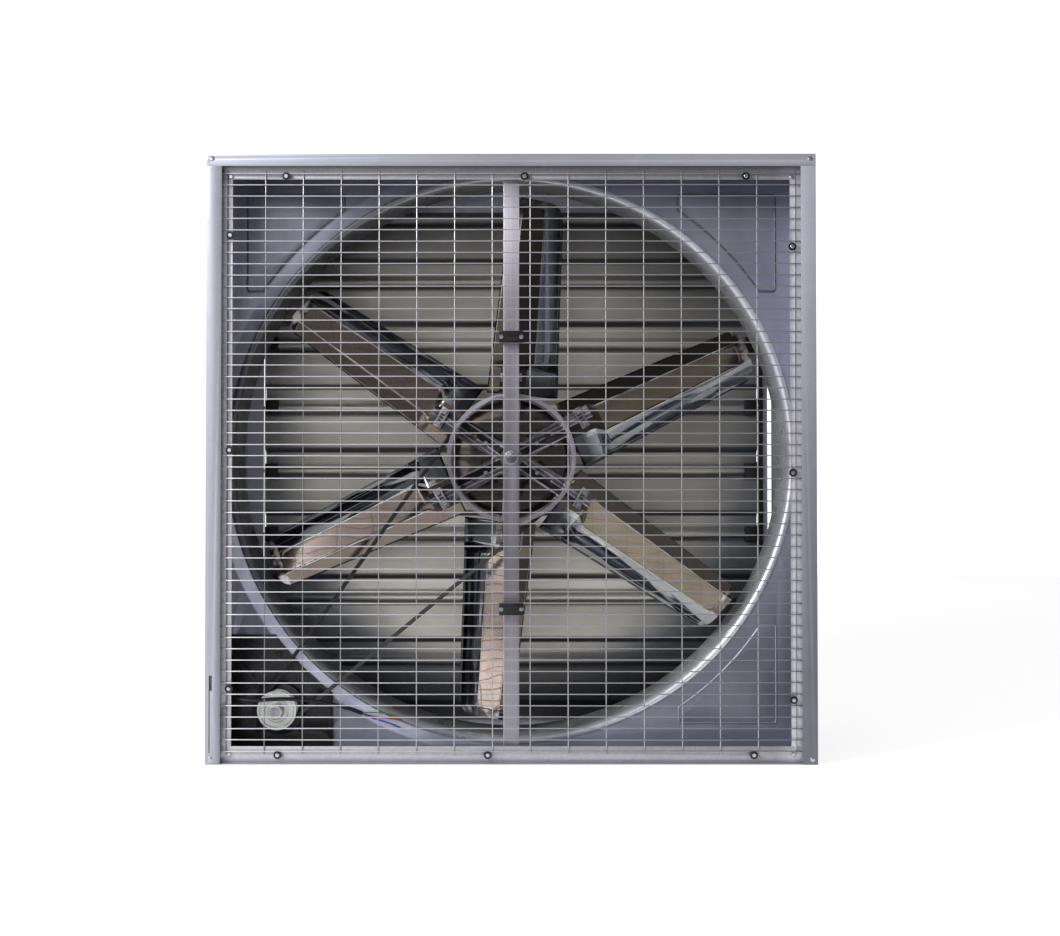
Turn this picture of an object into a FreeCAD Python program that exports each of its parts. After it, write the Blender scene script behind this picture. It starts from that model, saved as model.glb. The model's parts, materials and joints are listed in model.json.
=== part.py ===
import FreeCAD
import Part
import Sketcher
import math
import os
import re
from FreeCAD import Rotation, Vector

# A belt-driven wall exhaust fan: +Z up, the guard faces -Y, the shutter is at the back (+Y),
# and the origin is the middle of the underside. Depths are measured back from the front flanges.

doc = FreeCAD.newDocument("exhaust_fan")
sheet = doc.addObject("Spreadsheet::Sheet", "Sizes")

SIZES = (
    # Box of four channel panels
    ("frame_width", 1380), ("frame_height", 1380), ("frame_depth", 400), ("gauge", 1.5),
    ("side_flange", 34), ("top_flange", 28), ("side_rear_flange", 18), ("top_rear_flange", 62),
    ("bottom_rear_flange", 20), ("corner_tab", 26), ("rivet_radius", 3), ("rivet_head_radius", 6),
    ("rivet_head", 2), ("rivet_inset", 12), ("hole_clearance", 0.15),
    ("slot_width", 7), ("slot_length", 34), ("slot_rise", 166), ("slot_inset", 9), ("slit_width", 2),
    # Guard rails, mesh and its fasteners
    ("guard_depth", 17), ("rail_gauge", 2), ("rail_leg", 54), ("bottom_rail_leg", 36), ("rail_return", 16),
    ("wire_diameter", 3), ("wire_seat", 0.02), ("guard_rows", 52), ("guard_columns", 16),
    ("guard_side_margin", 45), ("guard_top_margin", 42.6), ("guard_bottom_margin", 27.4),
    ("row_overhang", 17), ("column_overhang", 7), ("screw_radius", 2.5), ("screw_head_radius", 5),
    ("screw_head", 3.5), ("washer_radius", 9), ("washer_gauge", 1.5), ("screw_wire_gap", 6.5),
    ("nut_height", 4), ("clip_width", 55), ("clip_height", 27), ("clip_plate", 4), ("clip_grip", 8),
    # Centre bar and axle
    ("bar_width", 36), ("bar_setback", 34), ("bar_leg", 30), ("bar_gauge", 3), ("bracket_length", 40),
    ("bracket_gauge", 3), ("axle_thread_radius", 12), ("axle_radius", 12.5), ("collar_gap", 0.5),
    ("axle_nut_radius", 15), ("axle_nut_height", 12), ("axle_washer_gauge", 2), ("axle_tip", 1.5),
    ("retainer_radius", 18), ("retainer_gauge", 3),
    # Fan wheel
    ("belt_depth", 100), ("rim_radius", 151), ("rim_width", 24), ("rim_wall", 4), ("hub_radius", 38),
    ("hub_front", 24), ("hub_back", 44), ("arm_setback", 36), ("bearing_radius", 26), ("race_radius", 19),
    ("bearing_width", 15),
    ("bearing_shoulder", 2.5), ("running_clearance", 0.05), ("seat_clearance", 0.03), ("arm_end", 26),
    ("arm_width", 42), ("arm_plate", 10), ("arm_rib", 6), ("arm_hole_radius", 7), ("arm_hole_reach", 100),
    ("hub_plate_radius", 142), ("hub_plate_gauge", 2), ("hub_bolt_reach", 70),
    # Blades
    ("blade_angle", 30), ("blade_count", 6), ("blade_gauge", 2), ("blade_tip_gap", 28), ("blade_lean", 5),
    ("blade_root_reach", 150), ("blade_neck", 55), ("blade_shoulder", 31), ("blade_lead", 72),
    ("blade_fold", 41), ("blade_panel", 69), ("blade_tail", 61), ("blade_taper", 0.74),
    ("blade_root_fold", 28), ("blade_root_flat", 64), ("blade_fold_drop", 10), ("blade_panel_rise", 24),
    ("blade_tail_rise", 48), ("blade_sweep_back", 8), ("blade_tip_fold", 28), ("blade_tip_drop", 7),
    ("blade_corner", 30), ("clamp_inset", 40), ("clamp_length", 50),
    ("clamp_width", 20), ("clamp_height", 7), ("clamp_bolt_span", 30), ("clamp_bolt_radius", 4),
    ("clamp_bolt_head_radius", 6.5), ("clamp_bolt_head", 5),
    # Belt drive
    ("belt_width", 14), ("belt_thickness", 9), ("belt_flank", 19), ("belt_clearance", 0.35),
    ("belt_inset", 0.5), ("small_rim_radius", 46), ("small_rim_width", 24), ("small_hub_radius", 17),
    ("small_hub_length", 22), ("groove_floor", 1),
    # Venturi
    ("panel_depth", 128), ("lip_margin", 23), ("bell_round", 12), ("ring_flange", 5), ("ring_gauge", 1.5),
    ("throat_end", 250), ("panel_hole_lap", 2), ("panel_edge", 20), ("emboss_height", 1.2),
    ("emboss_margin", 66.5), ("emboss_gap", 35), ("emboss_reach", 229),
    # Motor
    ("motor_wall_gap", 145), ("motor_floor_gap", 103.6), ("motor_plate", 5), ("plate_margin", 6),
    ("plate_right", 270), ("plate_top", 274), ("plate_ring_gap", 22), ("window_margin", 16),
    ("window_right", 228), ("window_top", 186), ("window_sill", 10), ("window_web", 28), ("plate_bolt_left", 30),
    ("plate_bolt_top", 230), ("plate_bolt_right", 254), ("plate_bolt_high", 130), ("plate_bolt_low", 50),
    ("nose_radius", 60), ("nose_reach", 11),
    ("shield_radius", 82), ("shield_plate", 8), ("casing_radius", 76), ("casing_wall", 5),
    ("motor_rear_gap", 56), ("fin_count", 20), ("fin_height", 4), ("fin_width", 4), ("stator_length", 96),
    ("stator_wall", 22), ("air_gap", 0.6), ("shaft_radius", 12), ("motor_bearing_radius", 22),
    ("motor_bearing_width", 12), ("nose_wall", 3), ("shaft_gap", 1.5), ("rear_shield", 16),
    ("cooling_fan_radius", 58), ("cooling_fan_length", 12),
    ("cover_length", 28), ("cover_wall", 2), ("box_reach", 44), ("box_length", 80), ("box_height", 66),
    ("box_drop", 6), ("motor_bolt_radius", 4), ("motor_bolt_head_radius", 7), ("motor_bolt_head", 5),
    ("flange_bolt_reach", 71), ("gland_inset", 35), ("gland_height", 147), ("gland_radius", 11),
    ("gland_length", 22), ("gland_thread_radius", 8), ("cable_diameter", 9), ("lead_diameter", 3),
    # Shutter
    ("slat_count", 8), ("slat_top_margin", 75), ("slat_bottom_margin", 171), ("slat_setback", 15),
    ("slat_gauge", 1), ("slat_end_gap", 58), ("slat_lip", 18), ("slat_overlap", 6), ("slat_step", 108),
    ("slat_roll", 7), ("slat_panel_offset", 3), ("slat_tail_offset", 5), ("jamb_gap", 13), ("jamb_width", 11),
    ("jamb_depth", 26), ("jamb_gauge", 2), ("left_wing", 31), ("jamb_cover", 11),
    ("pivot_radius", 4), ("pivot_reach", 17),
    ("block_width", 34), ("block_height", 38), ("block_depth", 11), ("bush_radius", 8), ("bush_flange", 11),
    ("bush_gauge", 1), ("bush_length", 6), ("lever_length", 24), ("lever_angle", 40), ("lever_radius", 8),
    ("link_pin_radius", 3), ("link_width", 12), ("link_thickness", 9.5), ("link_gap", 1),
)
for row, (name, amount) in enumerate(SIZES, 1):
    sheet.set(f"A{row}", name)
    sheet.set(f"B{row}", str(amount))
    sheet.setAlias(f"B{row}", name)
doc.recompute()
NAMES = {name for name, amount in SIZES}
FORWARD = Vector(0, -1, 0)
BACK = Vector(0, 1, 0)
RIGHT = Vector(1, 0, 0)
ALONG_Y = Rotation(RIGHT, -90)


def size(name):
    """Value of one cell of the sheet."""
    return float(sheet.get(name))


def sized(text):
    """Expression with every sheet name written as a reference to its cell."""
    return re.sub(r"[A-Za-z_]\w*", lambda word: f"Sizes.{word[0]}" if word[0] in NAMES else word[0], text)


def number(text):
    """Number that an expression of sheet names gives."""
    return float(sheet.evalExpression(sized(text)))


nodes = {}


def node(label, obj):
    """Name a finished piece, which gets a file of its own."""
    obj.Label = label
    nodes[label] = obj
    return obj


def bind(obj, **expressions):
    """Tie properties of an object to the sheet."""
    for prop, text in expressions.items():
        obj.setExpression(prop, sized(text))
    return obj


def place(obj, x, y, z):
    """Tie an object's position to the sheet."""
    for axis, text in (("x", x), ("y", y), ("z", z)):
        obj.setExpression(f".Placement.Base.{axis}", sized(text))
    return obj


def box(name, x, y, z, length, width, height):
    """Block with its low corner at x, y, z."""
    obj = doc.addObject("Part::Box", name)
    bind(obj, Length=length, Width=width, Height=height)
    return place(obj, x, y, z)


def rod(name, radius, x, depth, z, length):
    """Cylinder that runs back from a depth, along +Y."""
    obj = doc.addObject("Part::Cylinder", name)
    bind(obj, Radius=radius, Height=length)
    obj.Placement.Rotation = ALONG_Y
    return place(obj, x, f"{depth} - frame_depth / 2", z)


def fuse(name, *objects):
    """One solid from several."""
    obj = doc.addObject("Part::MultiFuse", name)
    obj.Shapes = list(objects)
    obj.Refine = True
    return obj


def cut(name, base, *tools):
    """Base with tools taken away."""
    tool = tools[0] if len(tools) == 1 else fuse(f"{name}_tools", *tools)
    obj = doc.addObject("Part::Cut", name)
    obj.Base = base
    obj.Tool = tool
    return obj


def feature(label, shape):
    """Node whose shape is worked out with Part's own functions."""
    obj = doc.addObject("Part::Feature", label)
    obj.Shape = shape
    return node(label, obj)


def y_at(depth):
    """Y of a depth behind the front flanges."""
    return depth - size("frame_depth") / 2


def turned(radius, x, depth, z, length):
    """Plain cylinder along +Y from a depth."""
    return Part.makeCylinder(radius, length, Vector(x, y_at(depth), z), BACK)


def bolt(x, z, front, head_radius, head, radius, length, nut=0):
    """Round-headed fastener along Y: head in front of a depth, shank behind it, nut at its end."""
    shape = turned(head_radius, x, front - head, z, head)
    shape = shape.fuse(turned(radius, x, front, z, length))
    if nut:
        shape = shape.fuse(turned(head_radius, x, front + length - nut, z, nut))
    return shape.removeSplitter()


def ring(outer, inner, x, depth, z, length):
    """Tube along +Y from a depth."""
    return turned(outer, x, depth, z, length).cut(turned(inner, x, depth, z, length))


# Positions that several pieces share
HALF_WIDTH = size("frame_width") / 2
INNER = HALF_WIDTH - size("gauge")
AXIS_Z = size("frame_height") / 2
LIP = "min(frame_width; frame_height) / 2 - lip_margin"
LIP_RADIUS = number(LIP)
THROAT_RADIUS = LIP_RADIUS - size("bell_round")
TIP_RADIUS = THROAT_RADIUS - size("blade_tip_gap")
MOTOR_X = size("motor_wall_gap") - HALF_WIDTH
MOTOR_Z = size("motor_floor_gap")
MOTOR_ACROSS = "motor_wall_gap - frame_width / 2"

# Box: the top panel laps the side panels, and the bottom one stands between them
FRONT = "-frame_depth / 2"
REAR = "frame_depth / 2"


def rivet_sites():
    """Corner fasteners of the front and rear faces, as (x, z)."""
    side = HALF_WIDTH - size("rivet_inset")
    low = size("rivet_inset")
    return [(x, z) for x in (-side, side) for z in (low, size("frame_height") - low)]


def rivet_holes(name, sites, depth, length):
    """Clearance holes along Y."""
    shank = size("rivet_radius") + size("hole_clearance")
    shape = Part.makeCompound([turned(shank, x, depth, z, length) for x, z in sites])
    obj = doc.addObject("Part::Feature", name)
    obj.Shape = shape
    return obj


def drilled(name, base):
    """Panel with the corner fasteners' holes through its front and rear flanges."""
    run = size("gauge") * 2
    front = rivet_holes(f"{name}_front_holes", rivet_sites(), 0, run)
    rear = rivet_holes(f"{name}_rear_holes", rivet_sites(), size("frame_depth") - run, run)
    return node(name, cut(f"{name}_cut", cut(f"{name}_front_cut", base, front), rear))


def top_panel():
    web = box("top_web", "-frame_width / 2", FRONT, "frame_height - gauge",
              "frame_width", "frame_depth", "gauge")
    front = box("top_front", "-frame_width / 2", FRONT, "frame_height - top_flange",
                "frame_width", "gauge", "top_flange")
    rear = box("top_rear", "-frame_width / 2", f"{REAR} - gauge", "frame_height - top_rear_flange",
               "frame_width", "gauge", "top_rear_flange")
    drilled("frame_top", fuse("top_fuse", web, front, rear))


def bottom_panel():
    web = box("bottom_web", "-frame_width / 2 + gauge", f"{FRONT} + gauge", "0",
              "frame_width - 2 * gauge", "frame_depth - 2 * gauge", "gauge")
    rear = box("bottom_rear", "-frame_width / 2 + gauge", f"{REAR} - 2 * gauge", "0",
               "frame_width - 2 * gauge", "gauge", "bottom_rear_flange")
    tabs = []
    for side, x in (("left", "-frame_width / 2 + gauge"), ("right", "frame_width / 2 - side_rear_flange")):
        tabs.append(box(f"bottom_tab_{side}", x, f"{FRONT} + gauge", "0",
                        "side_rear_flange - gauge", "gauge", "corner_tab"))
        tabs.append(box(f"bottom_rear_tab_{side}", x, f"{REAR} - 2 * gauge", "0",
                        "side_rear_flange - gauge", "gauge", "corner_tab"))
    drilled("frame_bottom", fuse("bottom_fuse", web, rear, *tabs))


def side_panel(name, sign):
    def at(inset, length):
        """X of a block that starts an inset from the outer face and runs inward."""
        return f"-frame_width / 2 + {inset}" if sign < 0 else f"frame_width / 2 - {inset} - {length}"
    web = box(f"{name}_web", at("0", "gauge"), f"{FRONT} + gauge", "0",
              "gauge", "frame_depth - 2 * gauge", "frame_height - gauge")
    front = box(f"{name}_front", at("0", "side_flange"), FRONT, "0",
                "side_flange", "gauge", "frame_height - top_flange")
    rear = box(f"{name}_rear", at("0", "side_rear_flange"), f"{REAR} - gauge", "0",
               "side_rear_flange", "gauge", "frame_height - top_rear_flange")
    tabs = []
    for face, y in (("front", f"{FRONT} + gauge"), ("rear", f"{REAR} - 2 * gauge")):
        tabs.append(box(f"{name}_{face}_tab", at("0", "side_rear_flange"), y,
                        "frame_height - gauge - corner_tab", "side_rear_flange", "gauge", "corner_tab"))
    base = fuse(f"{name}_fuse", web, front, rear, *tabs)
    if sign < 0:
        slot = box("flange_slot", at("slot_inset", "0"), FRONT, "slot_rise",
                   "slot_width", "gauge", "slot_length")
        slit = box("flange_slit", at("slot_inset", "0"), FRONT, "corner_tab", "slit_width", "gauge",
                   "slot_rise - corner_tab")
        base = cut(f"{name}_slotted", base, slot, slit)
    drilled(name, base)


def corner_rivets():
    gauge = size("gauge")
    solids = []
    for x, z in rivet_sites():
        front = bolt(x, z, 0, size("rivet_head_radius"), size("rivet_head"), size("rivet_radius"),
                     2 * gauge + size("rivet_head"), size("rivet_head"))
        solids.append(front)
        solids.append(front.mirror(Vector(0, 0, 0), BACK))
    feature("corner_rivets", Part.makeCompound(solids))


# Guard: angle rails inside the box, a welded mesh on their front faces, and its fasteners
COLUMN_SPAN = size("frame_width") - 2 * size("guard_side_margin")
COLUMN_PITCH = COLUMN_SPAN / (size("guard_columns") - 1)
ROW_SPAN = size("frame_height") - size("guard_top_margin") - size("guard_bottom_margin")
ROW_PITCH = ROW_SPAN / (size("guard_rows") - 1)
COLUMN_DEPTH = size("guard_depth") - size("wire_diameter") / 2 - size("wire_seat")
ROW_DEPTH = COLUMN_DEPTH - size("wire_diameter") - size("wire_seat")
MESH_FRONT = ROW_DEPTH - size("wire_diameter") / 2 - size("wire_seat")
CLIP_GAPS = (12, 36)


def column_x(index):
    """X of a vertical wire, or of a place between two of them."""
    return -COLUMN_SPAN / 2 + index * COLUMN_PITCH


def row_z(index):
    """Height of a horizontal wire, or of a place between two of them."""
    return size("guard_bottom_margin") + index * ROW_PITCH


def screw_sites():
    """Guard screws as (x, z, has a washer): three on each side of the mesh and one in each corner."""
    side = COLUMN_SPAN / 2 - size("screw_wire_gap")
    high = row_z(size("guard_rows") - 1) - size("screw_wire_gap")
    low = row_z(0) - size("screw_wire_gap") - size("wire_diameter") / 2
    sites = [(-side, row_z(gap + 0.5), True) for gap in (5, 26, 45)]
    sites += [(side, row_z(gap + 0.5), True) for gap in (4, 24, 44)]
    sites += [(column_x(place), high, True) for place in (1.55, 7.85, 13.7)]
    sites += [(column_x(place), low, True) for place in (1.36, 6.88, 13.87)]
    sites += [(x, z, False) for x in (-side, side) for z in (low, high)]
    return sites


def guard_rails():
    depth, gauge, back = size("guard_depth"), size("rail_gauge"), size("rail_return")
    top = size("frame_height") - size("gauge")
    floor = size("gauge")
    leg, low_leg = size("rail_leg"), size("bottom_rail_leg")
    y = y_at(depth)

    def block(x, z, length, width, height, behind=0):
        return Part.makeBox(length, width, height, Vector(x, y + behind, z))
    upper = block(-INNER, top - leg, 2 * INNER, gauge, leg)
    upper = upper.fuse(block(-INNER, top - gauge, 2 * INNER, back, gauge))
    lower = block(-INNER, floor, 2 * INNER, gauge, low_leg)
    lower = lower.fuse(block(-INNER, floor, 2 * INNER, back, gauge))
    rise = top - leg - floor - low_leg
    left = block(-INNER, floor + low_leg, leg, gauge, rise)
    left = left.fuse(block(-INNER, floor + low_leg, gauge, back, rise))
    right = left.mirror(Vector(0, 0, 0), RIGHT)
    hole = size("screw_radius") + size("hole_clearance")
    holes = Part.makeCompound([turned(hole, x, depth, z, gauge) for x, z, washer in screw_sites()])
    feature("guard_rails", Part.makeCompound([rail.removeSplitter().cut(holes).Solids[0]
                                              for rail in (upper, lower, left, right)]))


def guard_mesh():
    radius = size("wire_diameter") / 2
    half = COLUMN_SPAN / 2 + size("row_overhang")
    bottom = row_z(0) - size("column_overhang")
    rise = ROW_SPAN + 2 * size("column_overhang")
    wires = []
    for index in range(int(size("guard_rows"))):
        wires.append(Part.makeCylinder(radius, 2 * half, Vector(-half, y_at(ROW_DEPTH), row_z(index)), RIGHT))
    for index in range(int(size("guard_columns"))):
        wires.append(Part.makeCylinder(radius, rise, Vector(column_x(index), y_at(COLUMN_DEPTH), bottom)))
    feature("guard_mesh", Part.makeCompound(wires))


def guard_screws():
    washer, nut = size("washer_gauge"), size("nut_height")
    behind = size("guard_depth") + size("rail_gauge")
    shank, head_radius, head = size("screw_radius"), size("screw_head_radius"), size("screw_head")
    solids = []
    for x, z, washered in screw_sites():
        front = MESH_FRONT - washer if washered else size("guard_depth")
        solids.append(bolt(x, z, front, head_radius, head, shank, behind - front + nut, nut))
        if washered:
            solids.append(ring(size("washer_radius"), shank + size("hole_clearance"), x, front, z, washer))
    wing = (size("bar_width") + size("clip_width")) / 4
    plate_front = MESH_FRONT - size("clip_plate")
    reach = size("bar_setback") + size("clip_grip") - plate_front
    for gap in CLIP_GAPS:
        for x in (-wing, wing):
            solids.append(bolt(x, row_z(gap + 0.5), plate_front, head_radius, head, shank, reach))
    feature("guard_screws", Part.makeCompound(solids))


def guard_clips():
    width, height, bar = size("clip_width"), size("clip_height"), size("bar_width")
    wing = (bar + width) / 4
    hole = size("screw_radius") + size("hole_clearance")
    plate_front = MESH_FRONT - size("clip_plate")
    saddle_front = ROW_DEPTH + size("wire_diameter") / 2 + size("wire_seat")
    saddle_end = size("bar_setback") + size("clip_grip")
    plates = []
    saddles = []
    for gap in CLIP_GAPS:
        z = row_z(gap + 0.5)
        corner = Vector(-width / 2, y_at(plate_front), z - height / 2)
        plate = Part.makeBox(width, size("clip_plate"), height, corner)
        corner.y = y_at(saddle_front)
        saddle = Part.makeBox(width, saddle_end - saddle_front, height, corner)
        slot = Part.makeBox(bar, size("clip_grip"), height,
                            Vector(-bar / 2, y_at(size("bar_setback")), z - height / 2))
        saddle = saddle.cut(slot)
        for x in (-wing, wing):
            drill = turned(hole, x, plate_front, z, saddle_end - plate_front)
            plate = plate.cut(drill)
            saddle = saddle.cut(drill)
        plates.append(plate.Solids[0])
        saddles.append(saddle.Solids[0])
    feature("guard_clip_plates", Part.makeCompound(plates))
    feature("guard_clip_saddles", Part.makeCompound(saddles))


def sketch(body, role, corners):
    """Closed outline on one of a body's own planes; each corner is a pair of sheet expressions."""
    plane = next(item for item in body.Origin.OriginFeatures if item.Role == role)
    outline = body.newObject("Sketcher::SketchObject", f"{body.Name}_outline")
    outline.AttachmentSupport = (plane, [""])
    outline.MapMode = "FlatFace"
    count = len(corners)
    spots = [Vector(number(across), number(up), 0) for across, up in corners]
    for index in range(count):
        outline.addGeometry(Part.LineSegment(spots[index], spots[(index + 1) % count]))
    for index in range(count):
        outline.addConstraint(Sketcher.Constraint("Coincident", index, 2, (index + 1) % count, 1))
    for index, pair in enumerate(corners):
        for kind, text in zip(("DistanceX", "DistanceY"), pair):
            spot = spots[index].x if kind == "DistanceX" else spots[index].y
            bound = outline.addConstraint(Sketcher.Constraint(kind, -1, 1, index, 1, spot))
            outline.setExpression(f"Constraints[{bound}]", sized(text))
    return outline


def turned_body(label, corners, x, z):
    """Body turned about an axis along Y through x, z: each corner is a depth and a radius."""
    body = doc.addObject("PartDesign::Body", f"{label}_body")
    outline = sketch(body, "YZ_Plane", [(f"{depth} - frame_depth / 2", radius) for depth, radius in corners])
    turn = body.newObject("PartDesign::Revolution", f"{label}_turn")
    turn.Profile = outline
    turn.ReferenceAxis = (outline, ["H_Axis"])
    turn.Angle = 360
    body.Tip = turn
    return place(body, x, "0", z)


def padded_body(label, role, corners, length, x="0", y="0", z="0"):
    """Body extruded evenly to both sides of one of its planes."""
    body = doc.addObject("PartDesign::Body", f"{label}_body")
    outline = sketch(body, role, corners)
    pad = body.newObject("PartDesign::Pad", f"{label}_pad")
    pad.Profile = outline
    pad.Midplane = True
    bind(pad, Length=length)
    body.Tip = pad
    return place(body, x, y, z)


# Venturi: a panel across the box with a round hole, and the bell-mouth ring seated on it
AXIS = "frame_height / 2"


def venturi_panel():
    gauge, depth = size("gauge"), size("panel_depth")
    floor, rise = size("gauge"), size("frame_height") - 2 * size("gauge")
    plate = Part.makeBox(2 * INNER, gauge, rise, Vector(-INNER, y_at(depth), floor))
    edge = size("panel_edge")
    skirt = Part.makeBox(2 * INNER, edge, rise, Vector(-INNER, y_at(depth), floor))
    skirt = skirt.cut(Part.makeBox(2 * (INNER - gauge), edge, rise - 2 * gauge,
                                   Vector(gauge - INNER, y_at(depth), floor + gauge)))
    panel = plate.fuse(skirt)
    run = edge + size("emboss_height")
    hole = LIP_RADIUS + size("panel_hole_lap")
    panel = panel.cut(turned(hole, 0, depth, AXIS_Z, run))
    window = Part.makeBox(size("window_right") - size("window_margin"), run,
                          size("window_top") - size("window_sill"),
                          Vector(size("window_margin") - HALF_WIDTH, y_at(depth), size("window_sill")))
    window = window.cut(turned(hole + size("window_web"), 0, depth, AXIS_Z, run))
    panel = panel.cut(window).cut(bolt_drills(motor_bolt_sites()[0], depth, gauge))
    clear = LIP_RADIUS + size("ring_flange") + size("emboss_gap")
    margin, reach, height = size("emboss_margin"), size("emboss_reach"), size("emboss_height")
    low, high = margin, size("frame_height") - margin - reach
    near, far = margin - HALF_WIDTH, HALF_WIDTH - margin - reach
    for x, z in ((near, high), (far, high), (far, low)):
        patch = Part.makeBox(reach, height, reach, Vector(x, y_at(depth - height), z))
        panel = panel.fuse(patch.cut(turned(clear, 0, depth - height, AXIS_Z, height)))
    feature("venturi_panel", panel.removeSplitter().Solids[0])


def venturi_ring():
    """Flat flange, quarter-round mouth and straight throat, all one sheet thick."""
    depth, gauge = size("panel_depth"), size("ring_gauge")
    mouth = size("bell_round")
    front = depth - gauge
    end = size("throat_end")
    flange = LIP_RADIUS + size("ring_flange")
    bend = math.sqrt(0.5)

    def spot(back, radius):
        return Vector(0, y_at(back), radius)

    def mouth_arc(radius):
        """Quarter circle from the flange to the throat about one centre."""
        centre_depth, centre_radius = front + mouth, LIP_RADIUS
        return Part.Arc(spot(centre_depth - radius, centre_radius),
                        spot(centre_depth - radius * bend, centre_radius - radius * bend),
                        spot(centre_depth, centre_radius - radius)).toShape()
    corners = [spot(front, LIP_RADIUS), spot(front, flange), spot(depth, flange), spot(depth, LIP_RADIUS),
               spot(front + mouth, LIP_RADIUS - mouth + gauge), spot(end, LIP_RADIUS - mouth + gauge),
               spot(end, LIP_RADIUS - mouth), spot(front + mouth, LIP_RADIUS - mouth)]
    edges = [Part.makeLine(corners[index], corners[index + 1]) for index in (0, 1, 2, 4, 5, 6)]
    edges.insert(3, mouth_arc(mouth - gauge))
    edges.append(mouth_arc(mouth))
    section = Part.Face(Part.Wire(Part.__sortEdges__(edges)))
    shape = section.revolve(Vector(0, 0, 0), BACK, 360)
    shape.translate(Vector(0, 0, AXIS_Z))
    feature("venturi_ring", shape)


# Carrier: channel bar, foot brackets, fixed axle and what holds it
def centre_bar():
    web, leg, half, gauge = "bar_setback - frame_depth / 2", "bar_leg", "bar_width / 2", "bar_gauge"
    corners = [(f"-{half}", web), (half, web), (half, f"{web} + {leg}"),
               (f"{half} - {gauge}", f"{web} + {leg}"),
               (f"{half} - {gauge}", f"{web} + {gauge}"), (f"{gauge} - {half}", f"{web} + {gauge}"),
               (f"{gauge} - {half}", f"{web} + {leg}"), (f"-{half}", f"{web} + {leg}")]
    body = padded_body("centre_bar", "XY_Plane", corners, "frame_height - 2 * gauge", z=AXIS)
    hole = rod("bar_hole", "axle_thread_radius + hole_clearance", "0", "bar_setback", AXIS, "bar_gauge")
    node("centre_bar", cut("centre_bar_cut", body, hole))


def bar_brackets():
    gauge, leg = size("bracket_gauge"), size("bracket_length")
    width = size("bar_width") - 3 * size("bar_gauge")
    depth = size("bar_setback") + size("bar_gauge")
    run = size("bar_leg") - size("bar_gauge")
    floor = size("gauge")
    foot = Part.makeBox(width, run, gauge, Vector(-width / 2, y_at(depth), floor))
    upright = Part.makeBox(width, gauge, leg, Vector(-width / 2, y_at(depth), floor))
    lower = foot.fuse(upright).removeSplitter()
    upper = lower.mirror(Vector(0, 0, AXIS_Z), Vector(0, 0, 1))
    feature("bar_brackets", Part.makeCompound([lower, upper]))


def axle():
    rear = "belt_depth + hub_back"
    tip = "bar_setback - axle_washer_gauge - axle_nut_height - axle_tip"
    collar, collar_radius = "bar_setback + bar_gauge", "bar_width / 2 - bar_gauge - collar_gap"
    collar_end = "belt_depth - hub_front - bearing_shoulder"
    stub = [(tip, "0"), (tip, "axle_thread_radius"), (collar, "axle_thread_radius"), (collar, collar_radius),
            (collar_end, collar_radius), (collar_end, "axle_radius"), (rear, "axle_radius"), (rear, "0")]
    node("axle", turned_body("axle", stub, "0", AXIS))
    nut_front = "bar_setback - axle_washer_gauge - axle_nut_height"
    bore = "axle_thread_radius + seat_clearance"
    washer_front, washer_radius = "bar_setback - axle_washer_gauge", "bar_width / 2 - axle_washer_gauge / 2"
    nut = [(nut_front, bore), (nut_front, "axle_nut_radius"), (washer_front, "axle_nut_radius"),
           (washer_front, washer_radius), ("bar_setback", washer_radius), ("bar_setback", bore)]
    node("axle_nut", turned_body("axle_nut", nut, "0", AXIS))
    plate, head = f"{rear} + retainer_gauge", f"{rear} + 2 * retainer_gauge"
    retainer = [(rear, "0"), (rear, "retainer_radius"), (plate, "retainer_radius"), (plate, "axle_radius"),
                (head, "axle_radius"), (head, "0")]
    node("axle_retainer", turned_body("axle_retainer", retainer, "0", AXIS))


def bearing_depths():
    """Front faces of the two hub bearings."""
    shoulder, width = size("bearing_shoulder"), size("bearing_width")
    return (size("belt_depth") - size("hub_front") + shoulder,
            size("belt_depth") + size("hub_back") - shoulder - width)


def hub_bearings():
    width, split = size("bearing_width"), size("race_radius")
    bore = size("axle_radius") + size("seat_clearance")
    outer = size("bearing_radius") - size("seat_clearance")
    inner_races = [ring(split, bore, 0, depth, AXIS_Z, width) for depth in bearing_depths()]
    gap = split + size("running_clearance")
    outer_races = [ring(outer, gap, 0, depth, AXIS_Z, width) for depth in bearing_depths()]
    feature("bearing_inner_races", Part.makeCompound(inner_races))
    feature("bearing_outer_races", Part.makeCompound(outer_races))


# Fan wheel: one casting with hub, rim and six ribbed arms that carry the blades
BLADES = int(size("blade_count"))
ARM_BACK = size("belt_depth") + size("arm_setback")
ARM_FRONT = ARM_BACK - size("arm_plate")
CLAMP_REACH = size("blade_root_reach") + size("clamp_inset")


def about_hub(shape, index):
    """Copy of a shape that lies along +X from the hub, turned to one blade's direction."""
    moved = shape.copy()
    moved.translate(Vector(0, 0, AXIS_Z))
    moved.rotate(Vector(0, 0, AXIS_Z), FORWARD, size("blade_angle") + index * 360 / BLADES)
    return moved


def each_blade(shape):
    """Compound of the shape at every blade."""
    return Part.makeCompound([about_hub(shape, index) for index in range(BLADES)])


def along_arm(near, far, width, depth, length, offset=0):
    """Block along +X between two radii, centred on a tangential offset."""
    return Part.makeBox(far - near, length, width, Vector(near, y_at(depth), offset - width / 2))


def clamp_drills(radius, depth, length):
    """Cylinders at the two bolts of a blade that lies along +X."""
    half = size("clamp_bolt_span") / 2
    return [turned(radius, CLAMP_REACH, depth, offset, length) for offset in (-half, half)]


def groove_half(belt_outer, radius):
    """Expression for half the groove's width at a radius."""
    flank = "belt_flank * 1 deg"
    return (f"belt_width / 2 + belt_clearance / cos({flank})"
            f" - ({belt_outer} - ({radius})) * tan({flank})")


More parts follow.
